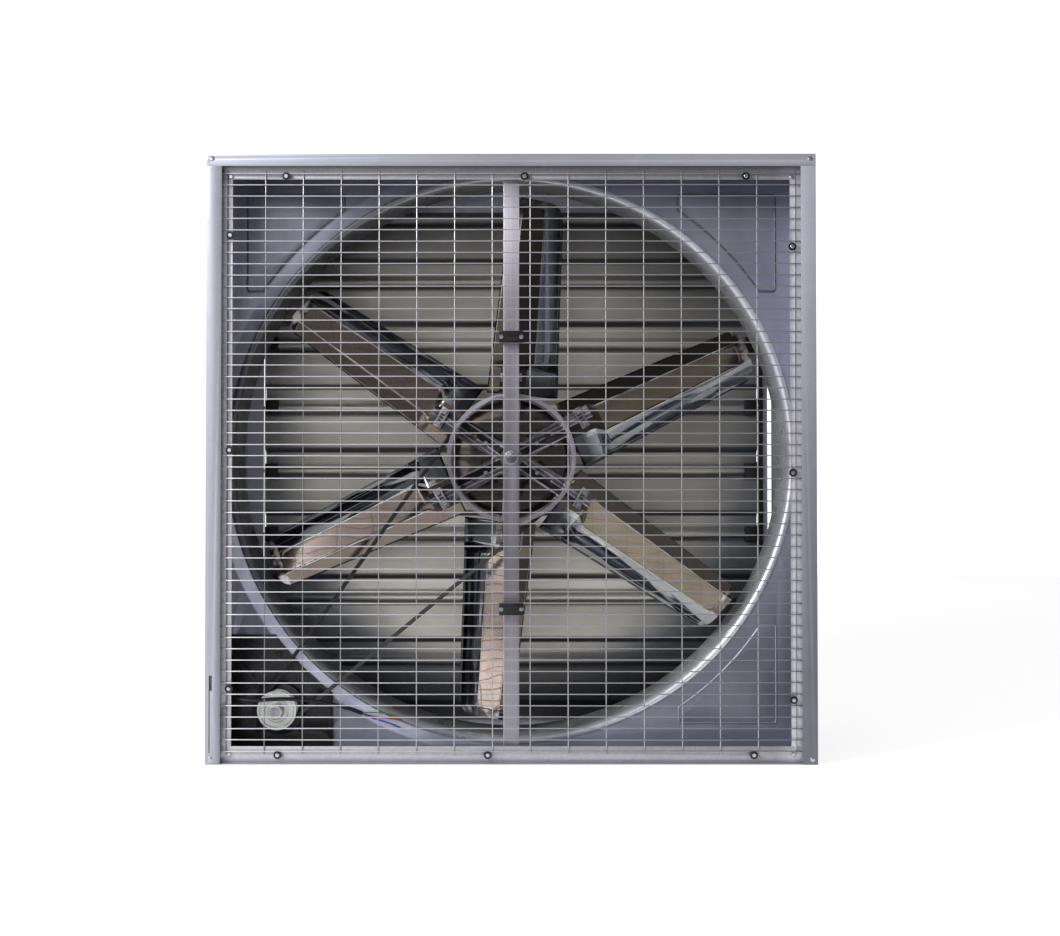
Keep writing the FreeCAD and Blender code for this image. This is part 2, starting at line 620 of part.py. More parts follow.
def grooved_rim(rim, rim_width):
    """Corners of a V-groove from the front outer edge to the rear one."""
    belt_outer = f"{rim} - belt_inset"
    floor = f"{rim} - belt_inset - belt_thickness - belt_clearance - groove_floor"
    front, rear = f"belt_depth - {rim_width} / 2", f"belt_depth + {rim_width} / 2"
    top, low = groove_half(belt_outer, rim), groove_half(belt_outer, floor)
    return [(front, rim), (f"belt_depth - ({top})", rim), (f"belt_depth - ({low})", floor),
            (f"belt_depth + ({low})", floor), (f"belt_depth + ({top})", rim), (rear, rim)], floor


def fan_pulley():
    groove, floor = grooved_rim("rim_radius", "rim_width")
    inner = f"{floor} - rim_wall"
    rim = turned_body("fan_rim", [(groove[0][0], inner)] + groove + [(groove[-1][0], inner)], "0", AXIS)
    front, rear = "belt_depth - hub_front", "belt_depth + hub_back"
    shoulder, seat = "bearing_shoulder", "bearing_radius"
    bore = "bearing_radius - bearing_shoulder"
    near_seat, far_seat = f"{front} + {shoulder} + bearing_width", f"{rear} - {shoulder} - bearing_width"
    hub = turned_body("fan_hub", [(front, seat), (front, "hub_radius"), (rear, "hub_radius"), (rear, seat),
                                  (far_seat, seat), (far_seat, bore), (near_seat, bore), (near_seat, seat)],
                      "0", AXIS)
    doc.recompute()
    start = (size("bearing_radius") + size("hub_radius")) / 2
    plate = along_arm(start, CLAMP_REACH + size("arm_end"), size("arm_width"), ARM_FRONT, size("arm_plate"))
    hole = turned(size("arm_hole_radius"), size("arm_hole_reach"), ARM_FRONT, 0, size("arm_plate"))
    plate = plate.cut(hole)
    bolt_hole = size("clamp_bolt_radius") + size("hole_clearance")
    drills = clamp_drills(bolt_hole, ARM_FRONT, size("arm_plate"))
    drills.append(turned(bolt_hole, size("hub_bolt_reach"), ARM_FRONT, 0, size("arm_plate")))
    for drill in drills:
        plate = plate.cut(drill)
    rib = size("arm_rib")
    rib_end = number(inner) + size("rim_wall") / 2
    rib_front = size("belt_depth") - size("rim_width") / 4
    for side in (-1, 1):
        offset = side * (size("arm_width") - rib) / 2
        plate = plate.fuse(along_arm(start, rib_end, rib, rib_front, ARM_BACK - rib_front, offset))
    casting = rim.Shape.fuse([hub.Shape] + each_blade(plate).Solids)
    feature("fan_pulley", casting.removeSplitter().Solids[0])


def hub_plate():
    """Round plate bolted behind the arms, which closes the wheel inside its rim."""
    gauge = size("hub_plate_gauge")
    disc = ring(size("hub_plate_radius"), size("hub_radius") + size("seat_clearance"), 0, ARM_BACK, AXIS_Z, gauge)
    drill = turned(size("clamp_bolt_radius") + size("hole_clearance"), size("hub_bolt_reach"), ARM_BACK, 0, gauge)
    feature("hub_plate", disc.cut(each_blade(drill)))


def blade_section(reach, spots):
    """Closed outline of a sheet section across the blade: each spot is a tangential place and a depth."""
    half = size("blade_gauge") / 2
    front = [Vector(reach, y_at(depth - half), offset) for offset, depth in spots]
    back = [Vector(reach, y_at(depth + half), offset) for offset, depth in reversed(spots)]
    return Part.makePolygon(front + back + front[:1])


def blade_shape():
    """Flat root under the clamp, then a panel between a folded leading edge and a tail that curls back. The body
    tapers, leans behind its arm, and its rounded tip is folded back."""
    gauge, corner = size("blade_gauge"), size("blade_corner")
    root_depth = ARM_BACK + gauge / 2
    lead, tail_rise = size("blade_lead"), size("blade_tail_rise")
    trail = lead - size("blade_fold") - size("blade_panel") - size("blade_tail")
    curl = ((0, 0), (0.42, 0.22), (0.75, 0.55), (1, 1))
    near = size("blade_root_reach")
    root_far = near + size("blade_neck")
    shoulder = root_far + size("blade_shoulder")
    tip_fold = TIP_RADIUS - size("blade_tip_fold")

    def row(front, fold, flat, panel_rise, share):
        """Places across the blade as pairs of tangential place and depth, narrowed evenly towards the tip."""
        narrow = 1 - share * (1 - size("blade_taper"))
        first, second = lead - fold, lead - fold - flat
        bend = front + panel_rise
        spots = [(lead, front + size("blade_fold_drop")), (first, front)]
        spots += [(second + across * (trail - second), bend + back * tail_rise) for across, back in curl]
        return [(narrow * place, depth) for place, depth in spots]

    def body(reach, drop):
        """Section of the body at a radius."""
        share = (reach - near) / (TIP_RADIUS - near)
        front = root_depth + gauge + share * size("blade_sweep_back") + drop
        spots = row(front, size("blade_fold"), size("blade_panel"), size("blade_panel_rise"), share)
        return blade_section(reach, spots)
    root = row(root_depth, size("blade_root_fold"), size("blade_root_flat"), 0, 0)
    sections = [blade_section(near, root), blade_section(root_far, root)]
    sections += [body(shoulder, 0), body(tip_fold, 0), body(TIP_RADIUS, size("blade_tip_drop"))]
    shape = Part.makeLoft(sections, True, True)
    depth, run = ARM_BACK - gauge, size("throat_end") - ARM_BACK
    narrow = size("blade_taper")
    tip = math.sqrt(TIP_RADIUS ** 2 - (narrow * trail) ** 2)
    outline = Part.makePolygon([Vector(near, y_at(depth), lead), Vector(near, y_at(depth), trail),
                                Vector(tip, y_at(depth), narrow * trail), Vector(tip, y_at(depth), narrow * lead),
                                Vector(near, y_at(depth), lead)])
    blank = Part.Face(outline).extrude(BACK * run)
    tip_edges = [edge for edge in blank.Edges
                 if abs(edge.Length - run) < 1e-6 and edge.BoundBox.XMin > tip - gauge]
    shape = shape.common(blank.makeFillet(corner, tip_edges)).Solids[0]
    shape.rotate(Vector(0, 0, 0), FORWARD, -size("blade_lean"))
    for drill in clamp_drills(size("clamp_bolt_radius") + size("hole_clearance"), depth, run):
        shape = shape.cut(drill)
    return shape.Solids[0]


def blades():
    shape = blade_shape()
    for index in range(BLADES):
        feature(f"fan_blade_{index + 1}", about_hub(shape, index))


def blade_clamps():
    reach, width, height = CLAMP_REACH, size("clamp_width"), size("clamp_height")
    plate = along_arm(reach - width / 2, reach + width / 2, size("clamp_length"), ARM_FRONT - height, height)
    notch = size("clamp_bolt_radius")
    for offset in (-2 * notch, 0, 2 * notch):
        plate = plate.cut(along_arm(reach - width / 4, reach + width / 4, notch, ARM_FRONT - height,
                                    height / 2, offset))
    for drill in clamp_drills(size("clamp_bolt_radius") + size("hole_clearance"), ARM_FRONT - height, height):
        plate = plate.cut(drill)
    feature("blade_clamps", each_blade(plate))
    head = size("clamp_bolt_head")
    length = height + size("arm_plate") + size("blade_gauge") + head
    half = size("clamp_bolt_span") / 2
    bolt_set = [bolt(reach, offset, ARM_FRONT - height, size("clamp_bolt_head_radius"), head,
                     size("clamp_bolt_radius"), length, head) for offset in (-half, half)]
    bolt_set.append(bolt(size("hub_bolt_reach"), 0, ARM_FRONT, size("clamp_bolt_head_radius"), head,
                         size("clamp_bolt_radius"), size("arm_plate") + size("hub_plate_gauge") + head, head))
    bolts = [about_hub(shape, index) for index in range(BLADES) for shape in bolt_set]
    feature("blade_bolts", Part.makeCompound(bolts))


# Belt drive: an open V-belt from the fan wheel's rim to the motor pulley
def drive_belt():
    outer, small = size("rim_radius") - size("belt_inset"), size("small_rim_radius") - size("belt_inset")
    thickness, flank = size("belt_thickness"), math.tan(math.radians(size("belt_flank")))
    across = math.hypot(MOTOR_X, MOTOR_Z - AXIS_Z)
    heading = math.degrees(math.atan2(MOTOR_Z - AXIS_Z, MOTOR_X))
    spread = math.degrees(math.acos((outer - small) / across))
    fan_axis, motor_axis = Vector(0, 0, AXIS_Z), Vector(MOTOR_X, 0, MOTOR_Z)

    def section(centre, radius, angle):
        """Trapezium on a pulley at an angle, seen from the front."""
        ray = Vector(math.cos(math.radians(angle)), 0, math.sin(math.radians(angle)))
        wide = size("belt_width") / 2
        narrow = wide - thickness * flank
        middle = Vector(0, y_at(size("belt_depth")), 0)
        corners = [centre + ray * reach + middle + BACK * half
                   for reach, half in ((radius, -wide), (radius, wide), (radius - thickness, narrow),
                                       (radius - thickness, -narrow))]
        return Part.Face(Part.makePolygon(corners + corners[:1]))
    pieces = [section(fan_axis, outer, heading + spread).revolve(fan_axis, FORWARD, 360 - 2 * spread),
              section(motor_axis, small, heading - spread).revolve(motor_axis, FORWARD, 2 * spread)]
    for angle in (heading + spread, heading - spread):
        start, end = section(fan_axis, outer, angle), section(motor_axis, small, angle)
        pieces.append(start.extrude(end.CenterOfMass - start.CenterOfMass))
    feature("drive_belt", pieces[0].fuse(pieces[1:]).removeSplitter().Solids[0])


def motor_pulley():
    groove, floor = grooved_rim("small_rim_radius", "small_rim_width")
    front, rear = groove[0][0], groove[-1][0]
    nose = f"{front} - small_hub_length"
    bore = "shaft_radius + seat_clearance"
    hub = [(nose, bore), (nose, "small_hub_radius"), (front, "small_hub_radius")]
    corners = hub + groove + [(rear, bore)]
    node("motor_pulley", turned_body("motor_pulley", corners, MOTOR_ACROSS, "motor_floor_gap"))


# Motor in the lower left corner: its flange is bolted behind a plate that covers the panel's window
PLATE_BOLTS = (("plate_bolt_left", "plate_bolt_top"), ("motor_wall_gap", "plate_bolt_top"),
               ("plate_bolt_right", "plate_bolt_high"), ("plate_bolt_right", "plate_bolt_low"))
FLANGE_ANGLES = (45, 135, 225, 315)
COOLING_VANES = 8
COVER_SLOTS = 16
PLATE_FRONT = "panel_depth - motor_plate"
NOSE_FRONT = f"{PLATE_FRONT} - nose_reach"
SHIELD_BACK = "panel_depth + shield_plate"
CASING_BACK = "frame_depth - motor_rear_gap - cover_length - rear_shield"
CASING_LENGTH = f"({CASING_BACK} - ({SHIELD_BACK}))"
REAR_BACK = f"{CASING_BACK} + rear_shield"
GLAND_X = "gland_inset - frame_width / 2"


def motor_turned(label, corners):
    """Body turned about the motor's axis."""
    return turned_body(label, corners, MOTOR_ACROSS, "motor_floor_gap")


def motor_bolt_sites():
    """Bolts of the plate and of the motor's flange, as (x, z) pairs."""
    plate = [(size(across) - HALF_WIDTH, size(up)) for across, up in PLATE_BOLTS]
    reach = size("flange_bolt_reach")
    turns = [math.radians(angle) for angle in FLANGE_ANGLES]
    flange = [(MOTOR_X + reach * math.cos(turn), MOTOR_Z + reach * math.sin(turn)) for turn in turns]
    return plate, flange


def motor_bolts():
    plate, flange = motor_bolt_sites()
    front = number(PLATE_FRONT)
    head_radius, head = size("motor_bolt_head_radius"), size("motor_bolt_head")
    radius = size("motor_bolt_radius")
    through = size("motor_plate") + size("gauge") + head
    solids = [bolt(x, z, front, head_radius, head, radius, through, head) for x, z in plate]
    solids += [bolt(x, z, front, head_radius, head, radius, size("motor_plate") + size("shield_plate"))
               for x, z in flange]
    feature("motor_bolts", Part.makeCompound(solids))


def bolt_drills(sites, depth, length):
    """Clearance holes for motor bolts."""
    radius = size("motor_bolt_radius") + size("hole_clearance")
    return Part.makeCompound([turned(radius, x, depth, z, length) for x, z in sites])


def motor_plate():
    blank = box("plate_blank", "plate_margin - frame_width / 2", f"{PLATE_FRONT} - frame_depth / 2",
                "plate_margin", "plate_right - plate_margin", "motor_plate", "plate_top - plate_margin")
    mouth_radius = f"{LIP} + ring_flange + plate_ring_gap"
    mouth = rod("plate_mouth", mouth_radius, "0", PLATE_FRONT, AXIS, "motor_plate")
    nose = rod("plate_nose", "nose_radius + hole_clearance", MOTOR_ACROSS, PLATE_FRONT, "motor_floor_gap",
               "motor_plate")
    gland = rod("plate_gland", "gland_thread_radius + hole_clearance", GLAND_X, PLATE_FRONT, "gland_height",
                "motor_plate")
    shaped = cut("plate_shaped", blank, mouth, nose, gland)
    doc.recompute()
    plate, flange = motor_bolt_sites()
    drills = bolt_drills(plate + flange, number(PLATE_FRONT), size("motor_plate"))
    feature("motor_plate", shaped.Shape.cut(drills).Solids[0])


def motor_shields():
    seat, opening = "motor_bearing_radius", "shaft_radius + shaft_gap"
    inner = "motor_bearing_radius + motor_bearing_width / 2"
    bearing_front = f"{NOSE_FRONT} + nose_wall"
    bearing_back = f"{bearing_front} + motor_bearing_width"
    front = motor_turned("front_shield", [
        (NOSE_FRONT, opening), (NOSE_FRONT, "nose_radius"), ("panel_depth", "nose_radius"),
        ("panel_depth", "shield_radius"), (SHIELD_BACK, "shield_radius"), (SHIELD_BACK, inner),
        (bearing_back, inner), (bearing_back, seat), (bearing_front, seat), (bearing_front, opening)])
    rear_seat = f"{REAR_BACK} - nose_wall"
    rear_front = f"{rear_seat} - motor_bearing_width"
    rim = "casing_radius + fin_height"
    rear = motor_turned("motor_rear_shield", [
        (CASING_BACK, inner), (CASING_BACK, rim), (REAR_BACK, rim), (REAR_BACK, opening),
        (rear_seat, opening), (rear_seat, seat), (rear_front, seat), (rear_front, inner)])
    node("motor_rear_shield", rear)
    doc.recompute()
    drills = bolt_drills(motor_bolt_sites()[1], size("panel_depth"), size("shield_plate"))
    feature("motor_front_shield", front.Shape.cut(drills).Solids[0])
    bore = size("shaft_radius") + size("running_clearance")
    outer, width = size("motor_bearing_radius") - size("seat_clearance"), size("motor_bearing_width")
    bearings = [ring(outer, bore, MOTOR_X, number(depth), MOTOR_Z, width)
                for depth in (bearing_front, rear_front)]
    feature("motor_bearings", Part.makeCompound(bearings))


def motor_casing():
    start, length, radius = number(SHIELD_BACK), number(CASING_LENGTH), size("casing_radius")
    inner = radius - size("casing_wall")
    tube = ring(radius, inner, MOTOR_X, start, MOTOR_Z, length)
    root, thick = size("casing_wall") / 2, size("fin_width")
    fin = Part.makeBox(size("fin_height") + root, length, thick,
                       Vector(MOTOR_X + radius - root, y_at(start), MOTOR_Z - thick / 2))
    fins = []
    for index in range(int(size("fin_count"))):
        turned_fin = fin.copy()
        turned_fin.rotate(Vector(MOTOR_X, 0, MOTOR_Z), BACK, index * 360 / size("fin_count"))
        fins.append(turned_fin)
    feature("motor_casing", tube.fuse(fins).removeSplitter().Solids[0])
    core = start + (length - size("stator_length")) / 2
    bore = inner - size("stator_wall")
    outer = inner - size("seat_clearance")
    feature("motor_stator", ring(outer, bore, MOTOR_X, core, MOTOR_Z, size("stator_length")))


def motor_rotor():
    tip = "belt_depth - small_rim_width / 2 - small_hub_length + groove_floor"
    core = f"{SHIELD_BACK} + ({CASING_LENGTH} - stator_length) / 2"
    core_radius = "casing_radius - casing_wall - stator_wall - air_gap"
    end = f"{REAR_BACK} + motor_bolt_head + cooling_fan_length"
    shaft = [(tip, "0"), (tip, "shaft_radius"), (core, "shaft_radius"), (core, core_radius),
             (f"{core} + stator_length", core_radius), (f"{core} + stator_length", "shaft_radius"),
             (end, "shaft_radius"), (end, "0")]
    node("motor_rotor_shaft", motor_turned("motor_rotor_shaft", shaft))
    fan_front = number(f"{REAR_BACK} + motor_bolt_head")
    length, reach = size("cooling_fan_length"), size("cooling_fan_radius")
    bore = size("shaft_radius") + size("seat_clearance")
    wall = length / 4
    wheel = ring(reach, bore, MOTOR_X, fan_front, MOTOR_Z, wall)
    wheel = wheel.fuse(ring(bore + 2 * wall, bore, MOTOR_X, fan_front, MOTOR_Z, length))
    vane = Part.makeBox(reach - bore - wall, length, wall / 2,
                        Vector(MOTOR_X + bore + wall, y_at(fan_front), MOTOR_Z))
    for index in range(COOLING_VANES):
        turned_vane = vane.copy()
        turned_vane.rotate(Vector(MOTOR_X, 0, MOTOR_Z), BACK, index * 360 / COOLING_VANES)
        wheel = wheel.fuse(turned_vane)
    feature("motor_cooling_fan", wheel.removeSplitter().Solids[0])


def motor_fan_cover():
    outer, inner = "casing_radius + fin_height + cover_wall", "casing_radius + fin_height + seat_clearance"
    lap, end = f"{REAR_BACK} - rear_shield / 2", f"{REAR_BACK} + cover_length"
    inside = f"{end} - cover_wall"
    cup = motor_turned("fan_cover_cup", [(lap, inner), (lap, outer), (end, outer), (end, "shaft_radius"),
                                         (inside, "shaft_radius"), (inside, inner)])
    doc.recompute()
    slots = []
    wall, reach = size("cover_wall"), size("cooling_fan_radius")
    slot = Part.makeBox(reach / 2, wall, 2 * wall,
                        Vector(MOTOR_X + reach / 2, y_at(number(inside)), MOTOR_Z - wall))
    for index in range(COVER_SLOTS):
        turned_slot = slot.copy()
        turned_slot.rotate(Vector(MOTOR_X, 0, MOTOR_Z), BACK, index * 360 / COVER_SLOTS)
        slots.append(turned_slot)
    feature("motor_fan_cover", cup.Shape.cut(Part.makeCompound(slots)).Solids[0])


def terminal_box():
    reach = size("casing_radius") + size("fin_height")
    start = number(SHIELD_BACK) + (number(CASING_LENGTH) - size("box_length")) / 2
    low = size("gland_height") - size("box_height") / 2 - size("box_drop")
    shape = Part.makeBox(reach + size("box_reach"), size("box_length"), size("box_height"),
                         Vector(MOTOR_X - reach - size("box_reach"), y_at(start), low))
    shape = shape.cut(turned(reach + size("hole_clearance"), MOTOR_X, start, MOTOR_Z, size("box_length")))
    solid = min(shape.Solids, key=lambda piece: piece.BoundBox.XMin)
    feature("terminal_box", solid)
    gland_front = number(PLATE_FRONT) - size("gland_length")
    feature("motor_lead", turned(size("cable_diameter") / 2, number(GLAND_X), gland_front,
                                 size("gland_height"), start - gland_front))


def cable_gland():
    bore = "cable_diameter / 2 + seat_clearance"
    front, locknut = f"{PLATE_FRONT} - gland_length", "panel_depth + nut_height"
    corners = [(front, bore), (front, "gland_radius"), (PLATE_FRONT, "gland_radius"),
               (PLATE_FRONT, "gland_thread_radius"), ("panel_depth", "gland_thread_radius"),
               ("panel_depth", "gland_radius"), (locknut, "gland_radius"), (locknut, bore)]
    node("cable_gland", turned_body("cable_gland", corners, GLAND_X, "gland_height"))


# Supply cable: out of the gland, across in front of the motor pulley, with three bare conductors
CABLE_ROUTE = ((-655, -99, 147), (-655, -135, 147), (-629, -165, 142), (-586, -172, 138), (-530, -153, 139.5),
               (-467, -136, 133), (-415, -117, 119.5), (-378, -92, 105), (-350, -82, 91))
RED_ROUTE = ((-350.3, -80.2, 89.8), (-325, -75.2, 82), (-292, -75.5, 79), (-262, -76, 75))
BLUE_ROUTE = ((-349.1, -83.5, 89.8), (-325, -80.5, 78), (-290, -78.5, 69.5), (-262, -77, 57))
EARTH_ROUTE = ((-348.5, -81.4, 92.5), (-325, -77.5, 92), (-295, -77, 91), (-266, -76.5, 82))
ROUTE_SHARE = 0.45


def cord(label, route, diameter):
    """Round tube along straight runs joined by tangent arcs that are as large as the runs allow."""
    spots = [Vector(*spot) for spot in route]
    edges = []
    radii = []
    start = spots[0]
    for before, spot, after in zip(spots, spots[1:], spots[2:]):
        arrive, leave = spot - before, after - spot
        reach = ROUTE_SHARE * min(arrive.Length, leave.Length)
        arrive.normalize()
        leave.normalize()
        half_turn = arrive.getAngle(leave) / 2
        radius = reach / math.tan(half_turn)
        inward = (leave - arrive).normalize()
        middle = spot + inward * radius * (1 / math.cos(half_turn) - 1)
        edges.append(Part.makeLine(start, spot - arrive * reach))
        edges.append(Part.Arc(spot - arrive * reach, middle, spot + leave * reach).toShape())
        start = spot + leave * reach
        radii.append(round(radius, 1))
    edges.append(Part.makeLine(start, spots[-1]))
    path = Part.Wire(edges)
    circle = Part.Wire(Part.makeCircle(diameter / 2, spots[0], spots[1] - spots[0]))
    tube = path.makePipeShell([circle], True, True)
    expected = math.pi * diameter ** 2 / 4 * path.Length
    share = round(tube.Volume / expected, 4)
    print(label, "length", round(path.Length, 1), "radii", radii, "volume share", share)
    feature(label, tube)


# Shutter: slats that hang from nylon pivots between two jambs, tied together by a link bar
SLATS = int(size("slat_count"))
SLAT_HALF = HALF_WIDTH - size("slat_end_gap")
SLAT_PITCH = (size("frame_height") - size("slat_top_margin") - size("slat_bottom_margin")) / (SLATS - 1)
PIVOT_Y = "frame_depth / 2 - slat_setback"
LEVER = math.radians(size("lever_angle"))
LEVER_Y = number(PIVOT_Y) - size("lever_length") * math.cos(LEVER)
LEVER_RISE = size("lever_length") * math.sin(LEVER)


def pivot_z(index):
    """Height of a slat's pivot, counted from the top."""
    return size("frame_height") - size("slat_top_margin") - index * SLAT_PITCH


def pin(radius, x, y, z, length):
    """Cylinder along +X."""
    return Part.makeCylinder(radius, length, Vector(x, y, z), RIGHT)


def slat_corners():
    """Sheet section about the pivot: top lip, rolled edge, groove, flat panel, step and tail."""
    pitch = "(frame_height - slat_top_margin - slat_bottom_margin) / (slat_count - 1)"
    drop = f"({pitch} - slat_lip + slat_overlap)"
    spine = [("-slat_gauge", "slat_lip"), ("0", "slat_roll"), ("-slat_roll", "slat_roll / 2"),
             ("-slat_roll", "-slat_roll / 2"), ("0", "-slat_roll - slat_gauge"),
             ("slat_gauge", "-slat_roll * 2"),
             ("-slat_panel_offset", "-slat_roll * 3"), ("-slat_panel_offset", "-slat_step"),
             ("slat_tail_offset", "-slat_step - slat_roll"), ("slat_tail_offset + slat_gauge", f"-{drop}")]
    back = [(f"{y} + slat_gauge", z) for y, z in reversed(spine)]
    return spine + back


def slats():
    bodies = []
    for index in range(SLATS):
        z = f"frame_height - slat_top_margin - {index} * " \
            "(frame_height - slat_top_margin - slat_bottom_margin) / (slat_count - 1)"
        bodies.append(padded_body(f"slat_{index + 1}_sheet", "YZ_Plane", slat_corners(),
                                  "frame_width - 2 * slat_end_gap", y=PIVOT_Y, z=z))
    doc.recompute()
    width, height, depth = size("block_width"), size("block_height"), size("block_depth")
    pivot_y = number(PIVOT_Y)
    roll = size("slat_roll")
    block_front = pivot_y - roll - depth
    block_run = depth + roll + 2 * size("slat_gauge")
    for index, body in enumerate(bodies):
        z = pivot_z(index)
        sheet_shape = body.Shape
        blocks = []
        for side in (-1, 1):
            low_x = SLAT_HALF - width if side > 0 else -SLAT_HALF
            block = Part.makeBox(width, block_run, height, Vector(low_x, block_front, z - height / 2))
            sheet_shape = sheet_shape.cut(block)
            start = SLAT_HALF if side > 0 else -SLAT_HALF - size("pivot_reach")
            block = block.fuse(pin(size("pivot_radius"), start, pivot_y, z, size("pivot_reach")))
            if side > 0:
                lug = size("lever_radius")
                block = block.fuse(pin(lug, SLAT_HALF - lug, LEVER_Y, z + LEVER_RISE, lug))
                block = block.fuse(pin(size("link_pin_radius"), SLAT_HALF, LEVER_Y, z + LEVER_RISE,
                                       size("link_gap") + size("link_thickness")))
            blocks.append(block.removeSplitter().Solids[0])
        panel = max(sheet_shape.Solids, key=lambda piece: piece.Volume)
        feature(f"slat_{index + 1}", Part.makeCompound([panel] + blocks))


def shutter_link():
    reach = size("link_width") / 2
    low, high = pivot_z(SLATS - 1) + LEVER_RISE - reach, pivot_z(0) + LEVER_RISE + reach
    start, thick = SLAT_HALF + size("link_gap"), size("link_thickness")
    bar = Part.makeBox(thick, 2 * reach, high - low, Vector(start, LEVER_Y - reach, low))
    hole = size("link_pin_radius") + size("running_clearance")
    for index in range(SLATS):
        bar = bar.cut(pin(hole, start, LEVER_Y, pivot_z(index) + LEVER_RISE, thick))
    feature("shutter_link", bar.Solids[0])


def shutter_jambs():
    inner, gauge, depth = SLAT_HALF + size("jamb_gap"), size("jamb_gauge"), size("jamb_depth")
    y = y_at(size("frame_depth") - 2 * size("gauge") - depth)
    floor, rise = size("gauge"), size("frame_height") - 2 * size("gauge")
    pivot_y = number(PIVOT_Y)
    bore, body = size("pivot_radius") + size("running_clearance"), size("bush_radius")
    flange, lip, length = size("bush_flange"), size("bush_gauge"), size("bush_length")
    hole = body + size("hole_clearance")
    right = Part.makeBox(gauge, depth, rise, Vector(inner, y, floor))
    left = right.mirror(Vector(0, 0, 0), RIGHT)
    right = right.fuse(Part.makeBox(size("jamb_width"), gauge, rise, Vector(inner, y, floor)))
    left = left.fuse(Part.makeBox(size("left_wing") + size("jamb_cover"), gauge, rise,
                                  Vector(-inner - size("left_wing"), y, floor)))
    bushes = []
    for index in range(SLATS):
        z = pivot_z(index)
        right = right.cut(pin(hole, inner, pivot_y, z, gauge))
        left = left.cut(pin(hole, -inner - gauge, pivot_y, z, gauge))
        bush = pin(body, inner - lip, pivot_y, z, length).fuse(pin(flange, inner - lip, pivot_y, z, lip))
        bush = bush.cut(pin(bore, inner - lip, pivot_y, z, length)).removeSplitter().Solids[0]
        bushes += [bush, bush.mirror(Vector(0, 0, 0), RIGHT)]
    feature("shutter_jamb_right", right.removeSplitter().Solids[0])
    feature("shutter_jamb_left", left.removeSplitter().Solids[0])
    feature("shutter_bushes", Part.makeCompound(bushes))


top_panel()
bottom_panel()
side_panel("frame_left", -1)
side_panel("frame_right", 1)
corner_rivets()
guard_rails()
guard_mesh()
guard_screws()
guard_clips()
venturi_panel()
venturi_ring()
centre_bar()
bar_brackets()
axle()
hub_bearings()
fan_pulley()
hub_plate()
blades()
blade_clamps()
drive_belt()
motor_pulley()
motor_plate()
motor_bolts()
motor_shields()
motor_casing()
motor_rotor()
motor_fan_cover()
terminal_box()
cable_gland()
cord("motor_cable", CABLE_ROUTE, size("cable_diameter"))
for lead, route in (("lead_red", RED_ROUTE), ("lead_blue", BLUE_ROUTE), ("lead_earth", EARTH_ROUTE)):
    cord(lead, route, size("lead_diameter"))
slats()
shutter_link()
shutter_jambs()
doc.recompute()

failed = [obj.Name for obj in doc.Objects if {"Invalid", "Error"} & set(obj.State)]
failed += [label for label, obj in nodes.items() if obj.Shape.isNull() or not obj.Shape.isValid()]
if failed:
    raise RuntimeError(f"not built: {failed}")
os.makedirs("parts", exist_ok=True)
for label, obj in nodes.items():
    obj.Shape.exportStep(f"parts/{label}.step")
print(len(nodes), "nodes")
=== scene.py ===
import json
import math
from functools import partialmethod

import bmesh
import bpy
import numpy as np
from mathutils import Matrix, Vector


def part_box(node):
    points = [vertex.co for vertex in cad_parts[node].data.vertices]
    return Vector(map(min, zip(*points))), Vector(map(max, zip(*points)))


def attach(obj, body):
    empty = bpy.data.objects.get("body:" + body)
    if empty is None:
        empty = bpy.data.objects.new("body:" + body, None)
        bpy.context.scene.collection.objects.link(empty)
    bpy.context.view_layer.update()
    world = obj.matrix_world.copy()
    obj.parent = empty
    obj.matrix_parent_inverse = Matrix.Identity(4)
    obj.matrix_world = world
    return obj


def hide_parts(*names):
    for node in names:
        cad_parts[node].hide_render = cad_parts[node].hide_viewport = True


bl_info = {
    "name": "Belt-drive exhaust fan",
    "version": (1, 0, 0),
    "blender": (4, 5, 0),
    "location": "View3D > Sidebar > Exhaust fan",
    "description": "Finishes, wire guard, pressed blades, shutter and cable of a wall exhaust fan",
    "category": "Add Mesh",
}

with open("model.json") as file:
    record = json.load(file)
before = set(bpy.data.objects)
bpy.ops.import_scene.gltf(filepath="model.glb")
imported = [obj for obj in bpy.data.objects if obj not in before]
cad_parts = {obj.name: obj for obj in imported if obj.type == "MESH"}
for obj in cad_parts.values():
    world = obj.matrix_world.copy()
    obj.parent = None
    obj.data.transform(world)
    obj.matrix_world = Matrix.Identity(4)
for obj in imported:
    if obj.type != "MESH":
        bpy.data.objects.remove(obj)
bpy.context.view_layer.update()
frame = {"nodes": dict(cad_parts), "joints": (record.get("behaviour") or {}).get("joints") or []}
MM = 0.001
IMAGE = (1060, 936)


def lin(red, green, blue):
    """Linear colour of an 8-bit display colour."""
    share = np.array((red, green, blue)) / 255
    return tuple(np.where(share <= 0.04045, share / 12.92, ((share + 0.055) / 1.055) ** 2.4))


def toned(base, amount):
    """Colour made lighter or darker by a factor."""
    return tuple(min(1.0, channel * amount) for channel in base)


def span(node, axis):
    """Lowest and highest coordinate of a CAD node along an axis."""
    low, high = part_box(node)
    return low[axis], high[axis]


# Places taken from the frame, in metres
JOINTS = {joint["name"]: joint["pos_m"] for joint in frame["joints"]}
FAN_Z = JOINTS["fan_spin"][2]
MOTOR_X, _, MOTOR_Z = JOINTS["motor_spin"]
SLAT_HINGES = [place for name, place in JOINTS.items() if name.startswith("slat_")]
FRONT_Y = span("frame_left", 1)[0]
HALF_WIDTH = span("frame_right", 0)[1]
BELT_Y = sum(span("drive_belt", 1)) / 2


def colour(name, text, red, green, blue):
    """Colour setting, given as an 8-bit display colour."""
    return bpy.props.FloatVectorProperty(name=name, description=text, default=lin(red, green, blue), size=3, min=0,
                                         max=1, subtype="COLOR")


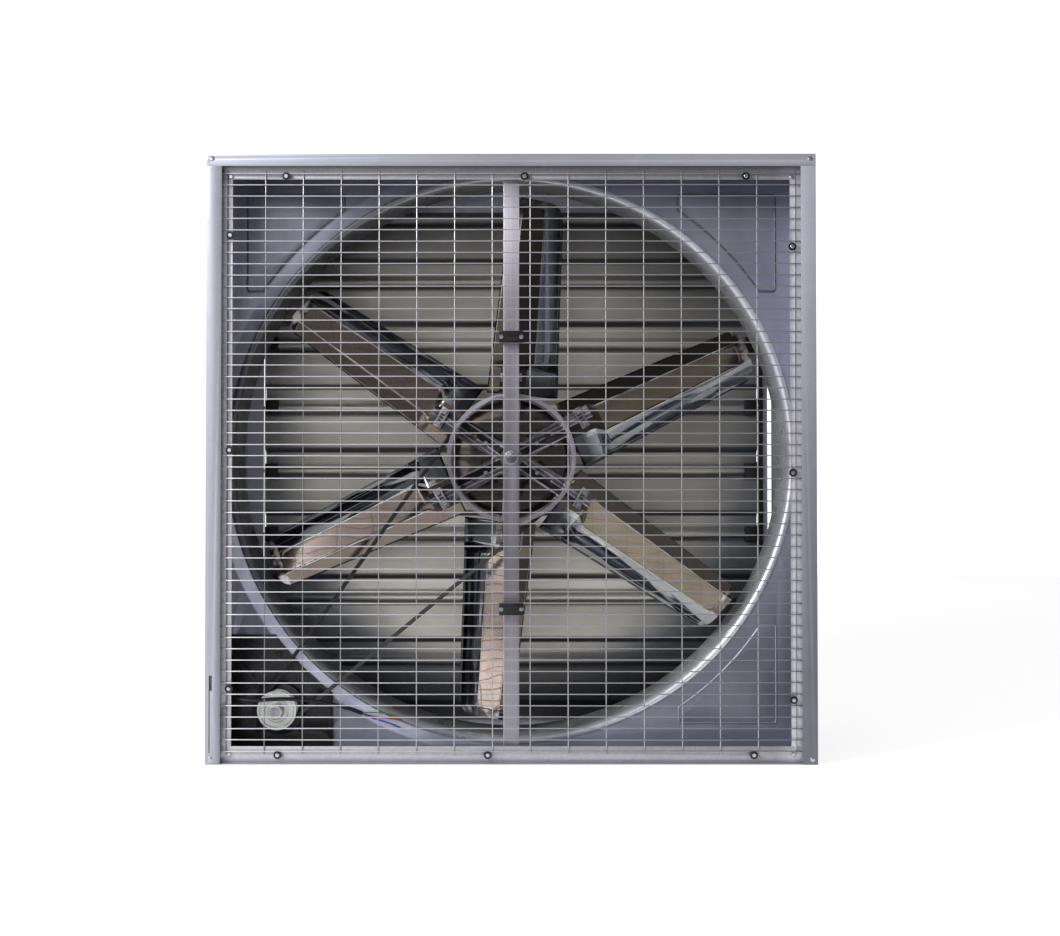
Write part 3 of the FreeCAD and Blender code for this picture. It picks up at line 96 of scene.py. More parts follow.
def length(name, text, millimetres):
    """Length setting, given in millimetres and kept in metres."""
    return bpy.props.FloatProperty(name=name, description=text, default=millimetres * MM, min=0, precision=4,
                                   unit="LENGTH")


def number(name, text, default, subtype="NONE"):
    """Setting without a length's unit."""
    return bpy.props.FloatProperty(name=name, description=text, default=default, subtype=subtype)


class FanColours(bpy.types.PropertyGroup):
    """Colours of the fan's finishes."""
    box: colour("Box sheet", "Galvanised sheet of the box", 186, 187, 200)
    panel: colour("Panel sheet", "Galvanised sheet of the venturi panel", 131, 133, 148)
    ring: colour("Bell ring", "Bright sheet of the bell-mouth ring", 190, 192, 200)
    slat: colour("Slats", "Sheet of the shutter slats", 204, 200, 190)
    wire: colour("Guard wire", "Zinc-plated wire", 196, 194, 201)
    bar: colour("Centre bar", "Channel that carries the wheel", 168, 165, 174)
    panel_warm: colour("Blade panel", "Warm tone of the polished blade panels", 132, 121, 111)
    tail_cool: colour("Blade tail", "Cool tone of the polished curved tails", 112, 115, 120)
    casting: colour("Castings", "Cast aluminium of the fan pulley and clamps", 176, 172, 180)
    enamel: colour("Motor enamel", "Black enamel of the motor", 8, 8, 17)
    nylon: colour("Black nylon", "Moulded blocks, clips and gland", 18, 18, 22)
    belt: colour("Belt", "Rubber of the drive belt", 14, 14, 17)
    zinc: colour("Fasteners", "Zinc-plated screws and bolts", 188, 188, 198)
    red: colour("Red lead", "Insulation of the red lead", 196, 40, 36)
    blue: colour("Blue lead", "Insulation of the blue lead", 44, 84, 176)
    green: colour("Earth lead", "Green of the earth lead", 70, 150, 80)
    copper: colour("Copper", "Bare ends of the leads", 214, 138, 84)


class FanSizes(bpy.types.PropertyGroup):
    """Sizes of the detail that the finishes add to the frame."""
    bend: length("Sheet bend", "Rounding of the folded sheet's edges", 1.4)
    casting_round: length("Casting round", "Rounding of the cast edges", 1.6)
    blade_sheet: length("Blade sheet", "Thickness of a blade", 1.6)
    blade_bead: length("Blade bead", "Height of the bead round a blade's pressed pan", 1.0)
    slat_sheet: length("Slat sheet", "Thickness of a slat", 0.9)
    wire_wander: length("Wire wander", "How far the guard wires wander from straight", 0.5)


class StageSettings(bpy.types.PropertyGroup):
    """Camera and light."""
    distance: length("Camera distance", "From the lens to the front flanges", 2750)
    focal_pixels: number("Focal length", "In pixels of the picture", 1218)
    centre_pixel: bpy.props.FloatVectorProperty(name="Fan centre", size=2, default=(511.3, 458.0),
                                                description="Pixel where the fan's centre lies")
    tilt: number("Tilt", "Upward tilt of the camera", math.radians(0.9), "ANGLE")
    key_power: number("Key lamp", "Power of the key lamp in watts", 62)
    soft_power: number("Soft lamp", "Power of the broad lamp in watts", 20)
    world: number("World", "Strength of the even light", 0.28)


# Surfaces worked out as grids of points: a patch is (points, faces, uv)
def grid(points, wrap_rows=False, wrap_columns=False, uv=None):
    """Patch of an array of rows by columns by three, with an optional array of rows by columns by two. A wrapped
    direction joins its last line to its first."""
    rows, columns = points.shape[:2]
    row, column = np.meshgrid(np.arange(rows - (not wrap_rows)), np.arange(columns - (not wrap_columns)),
                              indexing="ij")
    row, column = row.ravel(), column.ravel()
    below, beside = (row + 1) % rows, (column + 1) % columns
    faces = np.stack([row * columns + column, row * columns + beside,
                      below * columns + beside, below * columns + column], axis=1)
    flat_uv = np.zeros((rows * columns, 2)) if uv is None else np.asarray(uv, float).reshape(-1, 2)
    return points.reshape(-1, 3), faces, flat_uv


def moved(patch, place, matrix=np.eye(3)):
    """Patch turned by a matrix and then moved."""
    points, faces, uv = patch
    return points @ matrix.T + np.asarray(place), faces, uv


def gathered(patches):
    """One patch from several."""
    points, faces, uv = zip(*patches)
    counts = np.cumsum([0] + [len(part) for part in points[:-1]])
    faces = [part + count for part, count in zip(faces, counts)]
    return np.concatenate(points), np.concatenate(faces), np.concatenate(uv)


def lathe(profile, steps, flats=0, axis=1):
    """Surface turned about an axis: each profile point is a place along it and a radius. Flats make the
    section a polygon: its radius is the corner's times cos(half a side) over cos(angle from the side)."""
    along, radius = np.array(profile, float).T
    angle = np.arange(steps) * 2 * math.pi / steps
    reach = np.ones(steps)
    if flats:
        side = 2 * math.pi / flats
        reach = math.cos(side / 2) / np.cos(angle % side - side / 2)
    points = np.empty((len(along), steps, 3))
    points[..., axis] = along[:, None]
    points[..., (axis + 1) % 3] = radius[:, None] * reach * np.cos(angle)
    points[..., (axis + 2) % 3] = radius[:, None] * reach * np.sin(angle)
    return grid(points, wrap_columns=True)


def new_piece(name, data, body, look, nodes=()):
    """Object that rides on a body, takes a finish and stands for CAD nodes."""
    obj = bpy.data.objects.new(name, data)
    bpy.context.scene.collection.objects.link(obj)
    data.materials.append(finish(look))
    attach(obj, body)
    if nodes:
        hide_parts(*nodes)
    return obj


def from_work(work, mesh):
    """Write a bmesh into a mesh with smooth faces."""
    work.to_mesh(mesh)
    work.free()
    mesh.polygons.foreach_set("use_smooth", np.ones(len(mesh.polygons), bool))


def shaped(name, patch, look, nodes=(), body="housing", weld=True, sharp=35):
    """Piece from a patch: seams and poles are welded, faces turned outwards, and corners kept crisp."""
    points, faces, uv = patch
    mesh = bpy.data.meshes.new(name)
    mesh.from_pydata(points.tolist(), [], faces.tolist())
    layer = mesh.uv_layers.new(name="Surface")
    corners = np.empty(len(mesh.loops), np.int32)
    mesh.loops.foreach_get("vertex_index", corners)
    layer.data.foreach_set("uv", uv[corners].astype(np.float32).ravel())
    work = bmesh.new()
    work.from_mesh(mesh)
    if weld:
        bmesh.ops.remove_doubles(work, verts=work.verts, dist=1e-6)
        bmesh.ops.dissolve_degenerate(work, edges=work.edges, dist=1e-7)
    bmesh.ops.recalc_face_normals(work, faces=work.faces)
    from_work(work, mesh)
    mesh.set_sharp_from_angle(angle=math.radians(sharp))
    return new_piece(name, mesh, body, look, nodes)


def thickened(obj, thickness):
    """Give a sheet its gauge, half to each side."""
    wall = obj.modifiers.new("Gauge", "SOLIDIFY")
    wall.thickness = thickness
    wall.offset = 0.0
    wall.use_even_offset = True


def softened(node, look, width, segments=2, body="housing"):
    """CAD node as one welded mesh whose sharp edges a Bevel rounds."""
    mesh = bpy.data.meshes.new(node + "_finish")
    work = bmesh.new()
    work.from_mesh(frame["nodes"][node].data)
    bmesh.ops.remove_doubles(work, verts=work.verts, dist=1e-6)
    bmesh.ops.dissolve_limit(work, angle_limit=math.radians(0.5), verts=work.verts, edges=work.edges)
    from_work(work, mesh)
    obj = new_piece(node + "_finish", mesh, body, look, [node])
    bevel = obj.modifiers.new("Round", "BEVEL")
    bevel.width = width
    bevel.segments = segments
    bevel.limit_method = "ANGLE"
    bevel.angle_limit = math.radians(38)
    bevel.harden_normals = True


def dressed(look, *nodes):
    """Finish of CAD nodes that stay as they are."""
    for node in nodes:
        mesh = frame["nodes"][node].data
        mesh.materials.clear()
        mesh.materials.append(finish(look))


# Finishes: each is a Principled shader with its detail on Object coordinates or the piece's own UV
def put(socket, amount):
    """Give a node's input a constant, or link the value that another node gives."""
    if isinstance(amount, Value):
        socket.id_data.links.new(amount.socket, socket)
    else:
        socket.default_value = amount


def filled(node, inputs):
    """Node with some of its inputs given."""
    for key, amount in inputs.items():
        put(node.inputs[key], amount)
    return node


class Value:
    """Value or colour that a node gives. Sums on it make further nodes in its tree."""

    def __init__(self, socket):
        self.socket = socket

    def joined(self, kind, inputs, operation=None):
        """New node in this value's tree, with some of its inputs filled."""
        node = filled(self.socket.id_data.nodes.new("ShaderNode" + kind), inputs)
        if operation:
            node.operation = operation
        return node

    def sum(self, operation, other=0.0):
        """Sum with another value or number."""
        return Value(self.joined("Math", {0: self, 1: other}, operation).outputs[0])

    __add__ = partialmethod(sum, "ADD")
    __sub__ = partialmethod(sum, "SUBTRACT")
    __mul__ = partialmethod(sum, "MULTIPLY")
    __truediv__ = partialmethod(sum, "DIVIDE")
    __abs__ = partialmethod(sum, "ABSOLUTE")
    top = partialmethod(sum, "MAXIMUM")

    def spread(self, low, high, start=0.3, end=0.7):
        """Part of the value's range stretched between two limits."""
        limits = {"Value": self, "From Min": start, "From Max": end, "To Min": low, "To Max": high}
        return Value(self.joined("MapRange", limits).outputs[0])

    def times(self, factor):
        """Colour scaled by a value, a number or a colour."""
        factor = factor if isinstance(factor, Value) else tuple(np.ones(3) * np.array(factor))
        return Value(self.joined("VectorMath", {0: self, 1: factor}, "MULTIPLY").outputs[0])

    def mix(self, *tones):
        """Mix of two colours by this value."""
        node = self.joined("Mix", {0: self})
        node.data_type = "RGBA"
        for socket, tone in zip(node.inputs[6:8], tones):
            put(socket, tone if isinstance(tone, Value) else (*tone, 1))
        return Value(node.outputs[2])

    def ramp(self, stops, stepped=False):
        """Colour along this value: a stop is a place and a colour."""
        node = self.joined("ValToRGB", {0: self})
        if stepped:
            node.color_ramp.interpolation = "CONSTANT"
        points = node.color_ramp.elements
        while len(points) < len(stops):
            points.new(0.5)
        for point, (place, tone) in zip(points, stops):
            point.position = place
        for point, (place, tone) in zip(points, stops):
            point.color = (*tone, 1)
        return Value(node.outputs["Color"])

    def pick(self, values):
        """Value or colour from a list by this whole number. The ramp holds a third of it, so it can reach 3."""
        stops = [(index / len(values), np.ones(3) * np.array(value) / 3) for index, value in enumerate(values)]
        return ((self + 0.5) / len(values)).ramp(stops, True).times(3.0)


class Finish:
    """Material with its constant values on the shader's own sockets."""

    def __init__(self, name, base, metallic, roughness, coat=0.0):
        self.look = bpy.data.materials.new(name)
        self.look.use_nodes = True
        self.nodes = self.look.node_tree.nodes
        self.shader = self.nodes["Principled BSDF"]
        self.set(Base_Color=(*base, 1), Metallic=metallic, Roughness=roughness, Coat_Weight=coat)

    def set(self, **inputs):
        """Values of the shader."""
        filled(self.shader, {key.replace("_", " "): amount for key, amount in inputs.items()})
        return self

    def add(self, kind, output=0, **inputs):
        """What a new node gives; an input is a constant or a value."""
        return Value(filled(self.nodes.new("ShaderNode" + kind), inputs).outputs[output])

    def coords(self, scale=(1, 1, 1), source="Object", turn=(0, 0, 0)):
        """Coordinates stretched by a scale and turned."""
        return self.add("Mapping", Vector=self.add("TexCoord", source), Scale=scale, Rotation=turn)

    def axes(self, source="Object"):
        """The three coordinates as values."""
        place = self.coords(source=source)
        return [Value(socket) for socket in place.joined("SeparateXYZ", {0: place}).outputs]

    def noise(self, scale, detail=3.0, rough=0.55, stretch=(1, 1, 1), source="Object"):
        """Noise from 0 to 1."""
        return self.add("TexNoise", "Fac", Vector=self.coords(stretch, source), Scale=scale, Detail=detail,
                        Roughness=rough)

    def streaks(self, along, across, detail=3.0, rough=0.55):
        """Noise on the piece's UV."""
        return self.noise(1.0, detail, rough, (along, across, 1), "UV")

    def reach(self):
        """Distance from the fan's axis."""
        flat = self.add("Mapping", Vector=self.coords(), Location=(0, 0, -FAN_Z), Scale=(1, 0, 1))
        return Value(flat.joined("VectorMath", {0: flat}, "LENGTH").outputs["Value"])

    def bump(self, height, strength, distance):
        """Relief on the shader's normal."""
        return self.set(Normal=self.add("Bump", Height=height, Strength=strength, Distance=distance))

    def worn(self, tone, gloss, *relief):
        """Colour, roughness and relief."""
        return self.set(Base_Color=tone, Roughness=gloss).bump(*relief)

    def scaled(self, factor):
        """The colour that goes into the shader, multiplied."""
        link = self.shader.inputs["Base Color"].links[0]
        return self.set(Base_Color=Value(link.from_socket).times(factor))

    def shaded(self, *shades):
        """Painted light and shade along an axis: a shade is the axis, two places on it and the factors there."""
        axes, factor = self.axes(), 1.0
        for axis, start, end, low, high in shades:
            factor = axes[axis].spread(low, high, start, end) * factor
        return self.scaled(factor)


def galvanised(name, base, metallic, roughness, spangle, contrast, wobble=0.12):
    """Zinc sheet: crystals of slightly different tone, soft stains, and a sheet that isn't quite flat."""
    f = Finish(name, base, metallic, roughness)
    crystals = f.add("TexVoronoi", "Color", Vector=f.coords(), Scale=spangle, Randomness=1.0)
    stain = f.noise(6.0, 5.0, stretch=(1, 1, 0.35))
    tone = f.add("SeparateColor", Color=crystals).spread(0, 0.5, 0, 1) + stain.spread(0, 0.5)
    return f.worn(tone.mix(toned(base, 1 - contrast), toned(base, 1 + contrast)),
                  f.noise(24.0, 2.0).spread(roughness - 0.07, roughness + 0.07), f.noise(5.0, 2.0), wobble, 0.01)


def brushed(name, base, along, metallic, roughness, contrast):
    """Rolled or drawn metal: fine streaks along one axis in tone, gloss and relief."""
    f = Finish(name, base, metallic, roughness)
    streak = f.noise(1.0, 3.0, 0.7, tuple(3 if axis == along else 260 for axis in "XYZ"))
    tone = streak.spread(0, 1).mix(toned(base, 1 - contrast), toned(base, 1 + contrast))
    return f.worn(f.noise(7.0, 4.0).spread(0, 0.35).mix(tone, toned(base, 1 - 2 * contrast)),
                  streak.spread(roughness - 0.08, roughness + 0.1), streak, 0.12, 0.0006)


def cast(name, base, roughness):
    """Rough iron: fine grain, dull hollows and a little grime."""
    f = Finish(name, base, 0.9, roughness)
    grain = f.noise(420.0, 2.0, 0.6)
    return f.worn(f.noise(26.0, 4.0).spread(0, 1).mix(toned(base, 0.62), base),
                  grain.spread(roughness - 0.1, roughness + 0.16), grain, 0.25, 0.0008)


def turned_casting(name, base):
    """Fan pulley: the rim is turned bright, the hub keeps the dull skin of the mould, and each arm has painted
    highlights, bright edges and bright lines, beside a dark channel of painted shade down its middle. Aside is the
    distance from the nearest arm's middle."""
    f = Finish(name, base, 0.85, 0.4)
    reach, (x, _, z) = f.reach(), f.axes()
    rim = reach.spread(0, 1, 0.1405, 0.1420) * reach.spread(1, 0, 0.1515, 0.1525)
    turn = (z - FAN_Z).sum("ARCTAN2", x) + math.radians(5)
    turn = turn.sum("FLOORED_MODULO", math.radians(60)) - math.radians(30)
    aside = abs(reach * turn.sum("SINE"))
    # Painted highlights: bright lines along each arm
    highlight_lines = 0.0
    for place in (0.0095, 0.0195):
        highlight_lines = abs(aside - place).spread(1, 0, 0.0009, 0.0016).top(highlight_lines)
    grain = f.noise(380.0, 2.0, 0.6)
    skin = f.noise(30.0, 4.0).spread(0, 1).mix(toned(base, 0.22), toned(base, 0.5))
    # Painted shade: a dark channel down each arm's middle
    skin = aside.spread(1, 0, 0.0065, 0.0080).mix(skin, toned(base, 0.09))
    skin = highlight_lines.mix(skin, toned(base, 1.15))
    return f.worn(rim.mix(skin, base), grain.spread(0.28, 0.5), grain, 0.2, 0.0008)


def edge_lit(name, base):
    """Painted channel: fine drawing marks along Z, and a painted highlight, a bright line along its left edge."""
    f = Finish(name, base, 0.4, 0.42)
    marks = f.noise(1.0, 3.0, 0.7, (260, 260, 3))
    # Painted highlight along the left edge
    painted_edge_highlight = f.axes()[0].spread(1, 0, -0.0168, -0.0160)
    paint = marks.spread(0, 1).mix(toned(base, 0.93), toned(base, 1.07))
    return f.worn(painted_edge_highlight.mix(paint, toned(base, 1.9)), marks.spread(0.36, 0.5), marks, 0.1, 0.0006)


def moulded(name, base, roughness=0.45, grain=900.0, coat=0.0):
    """Nylon, enamel or insulation: faint grain, dusty patches and uneven gloss."""
    f = Finish(name, base, 0.0, roughness, coat)
    dust_and_painted_shade = f.noise(14.0, 5.0)
    return f.worn(dust_and_painted_shade.spread(0, 0.35, 0.45, 0.8).mix(base, tuple(channel + 0.03 for channel in base)),
                  dust_and_painted_shade.spread(roughness - 0.08, roughness + 0.12), f.noise(grain, 2.0), 0.15, 0.0005)


# Painted reflections of the blades, counter-clockwise from the right: tone of the panel and of the leading fold,
# glow of the tail's painted highlights, and strength of the mesh that the panel shows as a painted reflection
BLADE_REFLECTIONS = (((0.38, 0.38, 0.36), 0.34, 0.6, 0.15), ((0.28, 0.28, 0.30), 0.4, 0.1, 0.0),
          ((1.15, 1.12, 1.15), 1.15, 0.35, 0.25), ((0.62, 0.61, 0.65), 1.3, 0.5, 0.5),
          ((2.3, 2.22, 2.3), 0.9, 0.2, 0.7), ((1.0, 1.02, 0.94), 1.4, 1.0, 0.25))


def painted_mesh_reflection(f):
    """Painted reflection of a wire mesh: its lines as a polished, slightly wavy sheet shows them."""
    across, _, up = f.axes()
    wave, mesh = f.noise(8.0, 1.0) * 0.06, 0.0
    for place, pitch in ((up, 0.0255), (across, 0.088)):
        off = abs(((place + wave) / pitch).sum("FRACT") - 0.5)
        mesh = off.spread(1, 0, 0.0011 / pitch, 0.0022 / pitch).top(mesh)
    return mesh


def polished_blade(name, warm, cool):
    """Bright stainless sheet. Its UV runs from root to tip, one unit further for each blade, and from the leading to
    the trailing edge: the flat panel is warm and speckled and shows the guard's mesh as a painted reflection, the
    folds are darker, and the tail is dark with painted highlights for the bright patches that a mirror shows. Each
    blade has its own painted reflection, as if it faced another part of the room."""
    f = Finish(name, warm, 1.0, 0.2)
    run, across, _ = f.axes("UV")
    along, blade = run.sum("FRACT"), run.sum("FLOOR")
    panel_tone, fold_tone, shine, mesh = (blade.pick(values) for values in zip(*BLADE_REFLECTIONS))
    fold = across.spread(1, 0, 0.228, 0.242).top(along.spread(0, 1, 0.948, 0.953))
    tail = across.spread(0, 1, 0.637, 0.648)
    speckle, marks = f.noise(330.0, 3.0, 0.7), f.streaks(9, 60, 3.0, 0.6)
    panel = speckle.spread(0, 1).mix(toned(warm, 0.86), toned(warm, 1.12))
    panel = marks.spread(0, 0.6).mix(panel, toned(warm, 0.6))
    panel = f.streaks(3, 2).spread(0, 0.5).mix(panel, toned(warm, 1.4))
    # Painted reflection of the guard's mesh on the panel
    panel = (painted_mesh_reflection(f) * mesh).mix(panel, toned(warm, 0.3))
    body = fold.mix(panel.times(panel_tone), fold_tone.times(toned(warm, 0.62)))
    # Painted reflection on the tail: bright patches, streaks, a wedge at the root and a flare towards the tip
    patches = (f.streaks(3.1, 6.5, 1.0, 0.3) + shine * 0.09).spread(0, 1, 0.61, 0.65)
    thin = f.streaks(1.7, 40, 1.0, 0.4).spread(0, 0.8, 0.60, 0.66)
    taper = (across - 0.646) * 17.0 + (along - 0.08) * 3.2
    wedge = taper.spread(1, 0, 0.9, 1.0) * along.spread(0, 1, 0.07, 0.08)
    glow = (patches.top(thin) * along.spread(0, 1, 0.10, 0.16)).top(wedge) * shine.spread(0.06, 1, 0.1, 0.7)
    opening = across - 0.668 - (along - 0.60) * 0.55
    glow = glow.top(opening.spread(1, 0, 0, 0.012) * shine.spread(0, 1, 0.5, 0.9))
    sheet = tail.mix(body, glow.mix(toned(cool, 1.4), lin(232, 234, 232)))
    # Painted glints on the folded tip, the dull root of the tail and painted highlight lines on the two creases
    glint = f.streaks(18, 5, 1.0, 0.5).spread(0, 1, 0.48, 0.62) * panel_tone.spread(0.1, 0.9, 0.3, 0.6)
    glint = glint * along.spread(0, 1, 0.950, 0.956)
    dull = across.spread(0, 1, 0.962, 0.968).top(along.spread(1, 0, 0.05, 0.11) * tail)
    sheet = dull.mix(glint.mix(sheet, lin(240, 236, 232)), toned(cool, 0.35))
    fade, highlight_lines = f.streaks(7, 0.5, 2.0).spread(0.1, 1, 0.38, 0.6), 0.0
    for place, level in ((0.238, 0.75), (0.644, 1.0)):
        highlight_lines = (abs(across - place).spread(level, 0, 0.004, 0.008) * fade).top(highlight_lines)
    highlight_lines = highlight_lines * along.spread(0, 1, 0.14, 0.18) * shine.spread(0.25, 1, 0.1, 0.5)
    gloss = tail.spread(0.15, 0.06, 0, 1) + speckle.spread(0, 0.04) + dull.spread(0, 0.25, 0, 1)
    painted = (glow * tail).top(highlight_lines).top(glint)
    f.set(Metallic=painted.spread(1, 0.3, 0, 1))
    return f.worn(highlight_lines.mix(sheet, lin(240, 240, 234)), gloss, marks, 0.06, 0.0006)


# Slat section about its hinge, in millimetres of depth and height: lip, rolled edge, groove, panel, step and tail
SLAT_LINE = ((-1, 18), (-0.9, 9), (-1.8, 7.2), (-5.6, 4.8), (-7, 2.2), (-7, -2.2), (-5.6, -5.2), (-1.2, -8.4),
             (0.6, -11), (0.6, -14.5), (-1.2, -18.5), (-2.8, -22), (-3, -26), (-3, -104), (-2.2, -107.5),
             (3.6, -113.6), (4.8, -117), (6, -150))
SLAT_TOP, SLAT_HEIGHT = 18, 168
# Painted highlight and shade of the sheet at heights of that section: bright on the roll, dark in the groove and under
# the step
SLAT_PAINTED_SHADING = ((18, 0.60), (9.5, 0.58), (7.5, 0.95), (3, 1.5), (-3, 1.3), (-7, 0.8), (-9.5, 0.2), (-16, 0.16),
              (-20, 0.7), (-24, 1.0), (-98, 1.0), (-101.5, 0.4), (-104, 0.1), (-113, 0.1), (-116, 0.7),
              (-118.5, 1.15), (-150, 1.1))


def slat_finish(name, base):
    """Rolled sheet whose UV runs down the slat's section, one unit further on its back, with painted highlight and
    shade: bright on the roll, dull in the groove and under the step. The front has more painted shade: darker to
    the right, on the upper slats and on the lowest, lighter on the lower middle ones, and darker where the ring
    shades it."""
    f = Finish(name, base, 0.45, 0.42)
    side, (x, _, height) = f.axes("UV")[1], f.axes()
    # Painted highlight on the roll, painted shade in the groove and under the step
    stops = [((SLAT_TOP - at) / SLAT_HEIGHT, toned(base, tone)) for at, tone in SLAT_PAINTED_SHADING]
    streak = f.noise(1.0, 3.0, 0.7, (3, 200, 200))
    cloud = f.noise(4.0, 4.0, stretch=(1, 1, 2))
    sheet = side.sum("FRACT").ramp(stops).times(streak.spread(0.94, 1.04) * cloud.spread(0.84, 1.08))
    # Painted shade and light: darker to the right, on the lowest and the upper slats, lighter on the lower middle ones
    dust_and_painted_shade = x.spread(1.0, 0.74, 0.2, 0.5)
    for start, end, low, high in ((0.14, 0.22, 0.32, 1.0), (0.5, 0.68, 1.4, 1.0), (0.90, 1.28, 1.0, 0.55)):
        dust_and_painted_shade = dust_and_painted_shade * height.spread(low, high, start, end)
    # Painted shadow of the ring: blue-grey near the ring, weaker higher up
    painted_ring_shadow = f.reach().spread(0, 0.75, 0.50, 0.60) * height.spread(1.0, 0.4, 0.45, 0.90)
    front = painted_ring_shadow.mix(sheet.times(dust_and_painted_shade), dust_and_painted_shade.times(lin(66, 80, 96)))
    tone = side.spread(0, 1, 0.9995, 1.0005).mix(front, sheet)
    return f.worn(tone, streak.spread(0.33, 0.5), streak, 0.1, 0.0006)


def strip_lit(f):
    """Panel with painted light on its flat strip round the ring, inside the pressed fields, on the left: lighter
    low and at the top, darker between.
    """
    reach, (x, _, z) = f.reach(), f.axes()
    strip = reach.spread(0, 1, 0.670, 0.674) * reach.spread(1, 0, 0.698, 0.704) * x.spread(1, 0, -0.40, -0.15)
    level = z.spread(3.4, 0.6, 0.38, 0.80) * z.spread(1.0, 2.6, 1.02, 1.14)
    return f.scaled(strip * (level - 1.0) + 1.0)


def dark_mirror(name, base, warm):
    """Polished dark plate with a painted reflection: light streaks and a few warm, blurred patches of what is
    before it.
    """
    f = Finish(name, base, 0.9, 0.16)
    patches = f.noise(11.0, 2.0, 0.4, (1, 1, 1.6))
    streaks = f.noise(16.0, 2.0, 0.5, (1, 1, 5))
    sheet = streaks.spread(0, 0.5, 0.45, 0.7).mix(base, toned(base, 2.6))
    return f.set(Base_Color=patches.spread(0, 1, 0.60, 0.64).mix(sheet, toned(warm, 1.7))).bump(streaks, 0.1, 0.001)


def fabric_belt(name, base):
    """Wrapped rubber: a fine diagonal weave along the belt's UV, worn shiny in streaks."""
    f = Finish(name, base, 0.0, 0.62)
    weave = f.add("TexChecker", "Fac", Vector=f.coords(source="UV", turn=(0, 0, math.radians(45))), Scale=700.0)
    wear = f.streaks(2, 60)
    return f.worn(wear.spread(0, 0.6).mix(base, tuple(channel + 0.05 for channel in base)),
                  wear.spread(0.5, 0.75), weave, 0.2, 0.0003)


def striped_lead(name, base, stripe):
    """Insulation with a second colour in a stripe along the lead."""
    f = Finish(name, base, 0.0, 0.3)
    return f.set(Base_Color=f.axes("UV")[1].spread(0, 1, 0.60, 0.62).mix(base, stripe))


def all_finishes(c):
    """Every finish by name, from the colour settings."""
    box, clamp_front = (c.box, 0.35, 0.46, 45.0, 0.04), span("blade_clamps", 1)[0]
    return dict(
        box=galvanised("galvanised_box", *box),
        # Lit and shaded copies of the box sheet with painted light: the right side darker low, lighter high; the top
        # lighter to the right
        box_right_shaded=galvanised("galvanised_right_shaded", *box).shaded((2, 0.2, 1.15, 0.5, 1.4)),
        box_top_shaded=galvanised("galvanised_top_shaded", *box).shaded((0, 0.0, 0.55, 1.0, 1.4)),
        jamb=galvanised("galvanised_jamb", toned(c.box, 1.15), 0.15, 0.5, 45.0, 0.04),
        # Painted light and shade on the panel: darker on the left, lighter higher up, darker at the top, lighter
        # strips at the edges
        panel=strip_lit(galvanised("galvanised_panel", c.panel, 0.5, 0.42, 38.0, 0.07, 0.2).shaded(
            (0, -0.3, 0.3, 0.7, 1.0), (2, 0.3, 0.9, 1.0, 1.5), (2, 1.2, 1.32, 1.0, 0.72), (0, 0.54, 0.64, 1.0, 1.4),
            (0, -0.66, -0.6, 2.8, 1.0), (2, 0.04, 0.13, 1.55, 1.0))),
        # Painted light and shade on the pressed lines: lighter low on the panel, darker high
        pressed=galvanised("pressed_line", c.panel, 0.4, 0.42, 38.0, 0.05).shaded((2, 0.5, 0.8, 1.75, 0.55)),
        # Painted light and shade on the ring: dark on the left, light on the right, lighter low
        ring=galvanised("bright_ring", c.ring, 0.55, 0.33, 60.0, 0.03, 0.06).shaded(
            (0, -0.45, 0.45, 0.28, 1.65), (2, 0.2, 0.7, 1.15, 1.0)),
        slat=slat_finish("slat_sheet", c.slat),
        # Painted highlights on the guard wires: rows lighter to the left, darker to the right; columns darker on the
        # left
        rows=brushed("guard_rows", c.wire, "X", 0.35, 0.35, 0.06).shaded((0, -0.6, 0.6, 1.5, 0.6)),
        columns=brushed("guard_columns", c.wire, "Z", 0.7, 0.35, 0.06).shaded((0, -0.65, -0.2, 0.4, 1.0)),
        # Painted light and shade on the rails: darker along the top, lighter on the right
        rail=galvanised("guard_angle", c.wire, 0.4, 0.46, 150.0, 0.12).shaded(
            (2, 1.30, 1.34, 1.0, 0.6), (0, 0.60, 0.64, 1.0, 1.5)),
        # Painted light and shade on the centre bar: darker in the middle, much lighter high up, a little darker at the
        # very top
        bar=edge_lit("bar_steel", c.bar).shaded((2, 0.20, 0.45, 1.0, 0.62), (2, 0.62, 0.95, 1.0, 1.85),
                                                (2, 1.05, 1.19, 1.0, 1.9), (2, 1.25, 1.31, 1.0, 0.6)),
        blade=polished_blade("polished_blade", c.panel_warm, c.tail_cool),
        # Painted shade on the clamps: much darker deeper than their front face, in the notches and on the sides
        clamp=brushed("clamp_casting", toned(c.casting, 0.85), "X", 0.8, 0.26, 0.2).shaded(
            (1, clamp_front + 0.0012, clamp_front + 0.0026, 1.0, 0.1)),
        hub_plate=dark_mirror("hub_plate_steel", toned(c.panel_warm, 0.4), c.panel_warm),
        # Painted shade and light on the pulley: darker on the left, lighter on the right
        wheel=turned_casting("turned_casting", c.casting).shaded((0, -0.15, 0.15, 0.45, 1.3)),
        turned=brushed("turned_aluminium", lin(204, 207, 202), "Y", 0.6, 0.36, 0.05),
        enamel=moulded("black_enamel", c.enamel, 0.44, 300.0, 0.05),
        nylon=moulded("black_nylon", c.nylon),
        sheath=moulded("cable_sheath", c.nylon, 0.3, 500.0),
        belt=fabric_belt("belt_rubber", c.belt),
        zinc=brushed("zinc_fastener", c.zinc, "Y", 0.95, 0.25, 0.06),
        steel=brushed("ground_steel", toned(c.bar, 0.7), "Y", 1.0, 0.25, 0.08),
        iron=cast("stator_iron", toned(c.bar, 0.3), 0.6),
        red=moulded("red_insulation", c.red, 0.3, 800.0),
        blue=moulded("blue_insulation", c.blue, 0.3, 800.0),
        earth=striped_lead("earth_insulation", c.green, lin(214, 196, 60)),
        copper=brushed("bare_copper", c.copper, "X", 1.0, 0.3, 0.1),
    )


FINISHES = {}


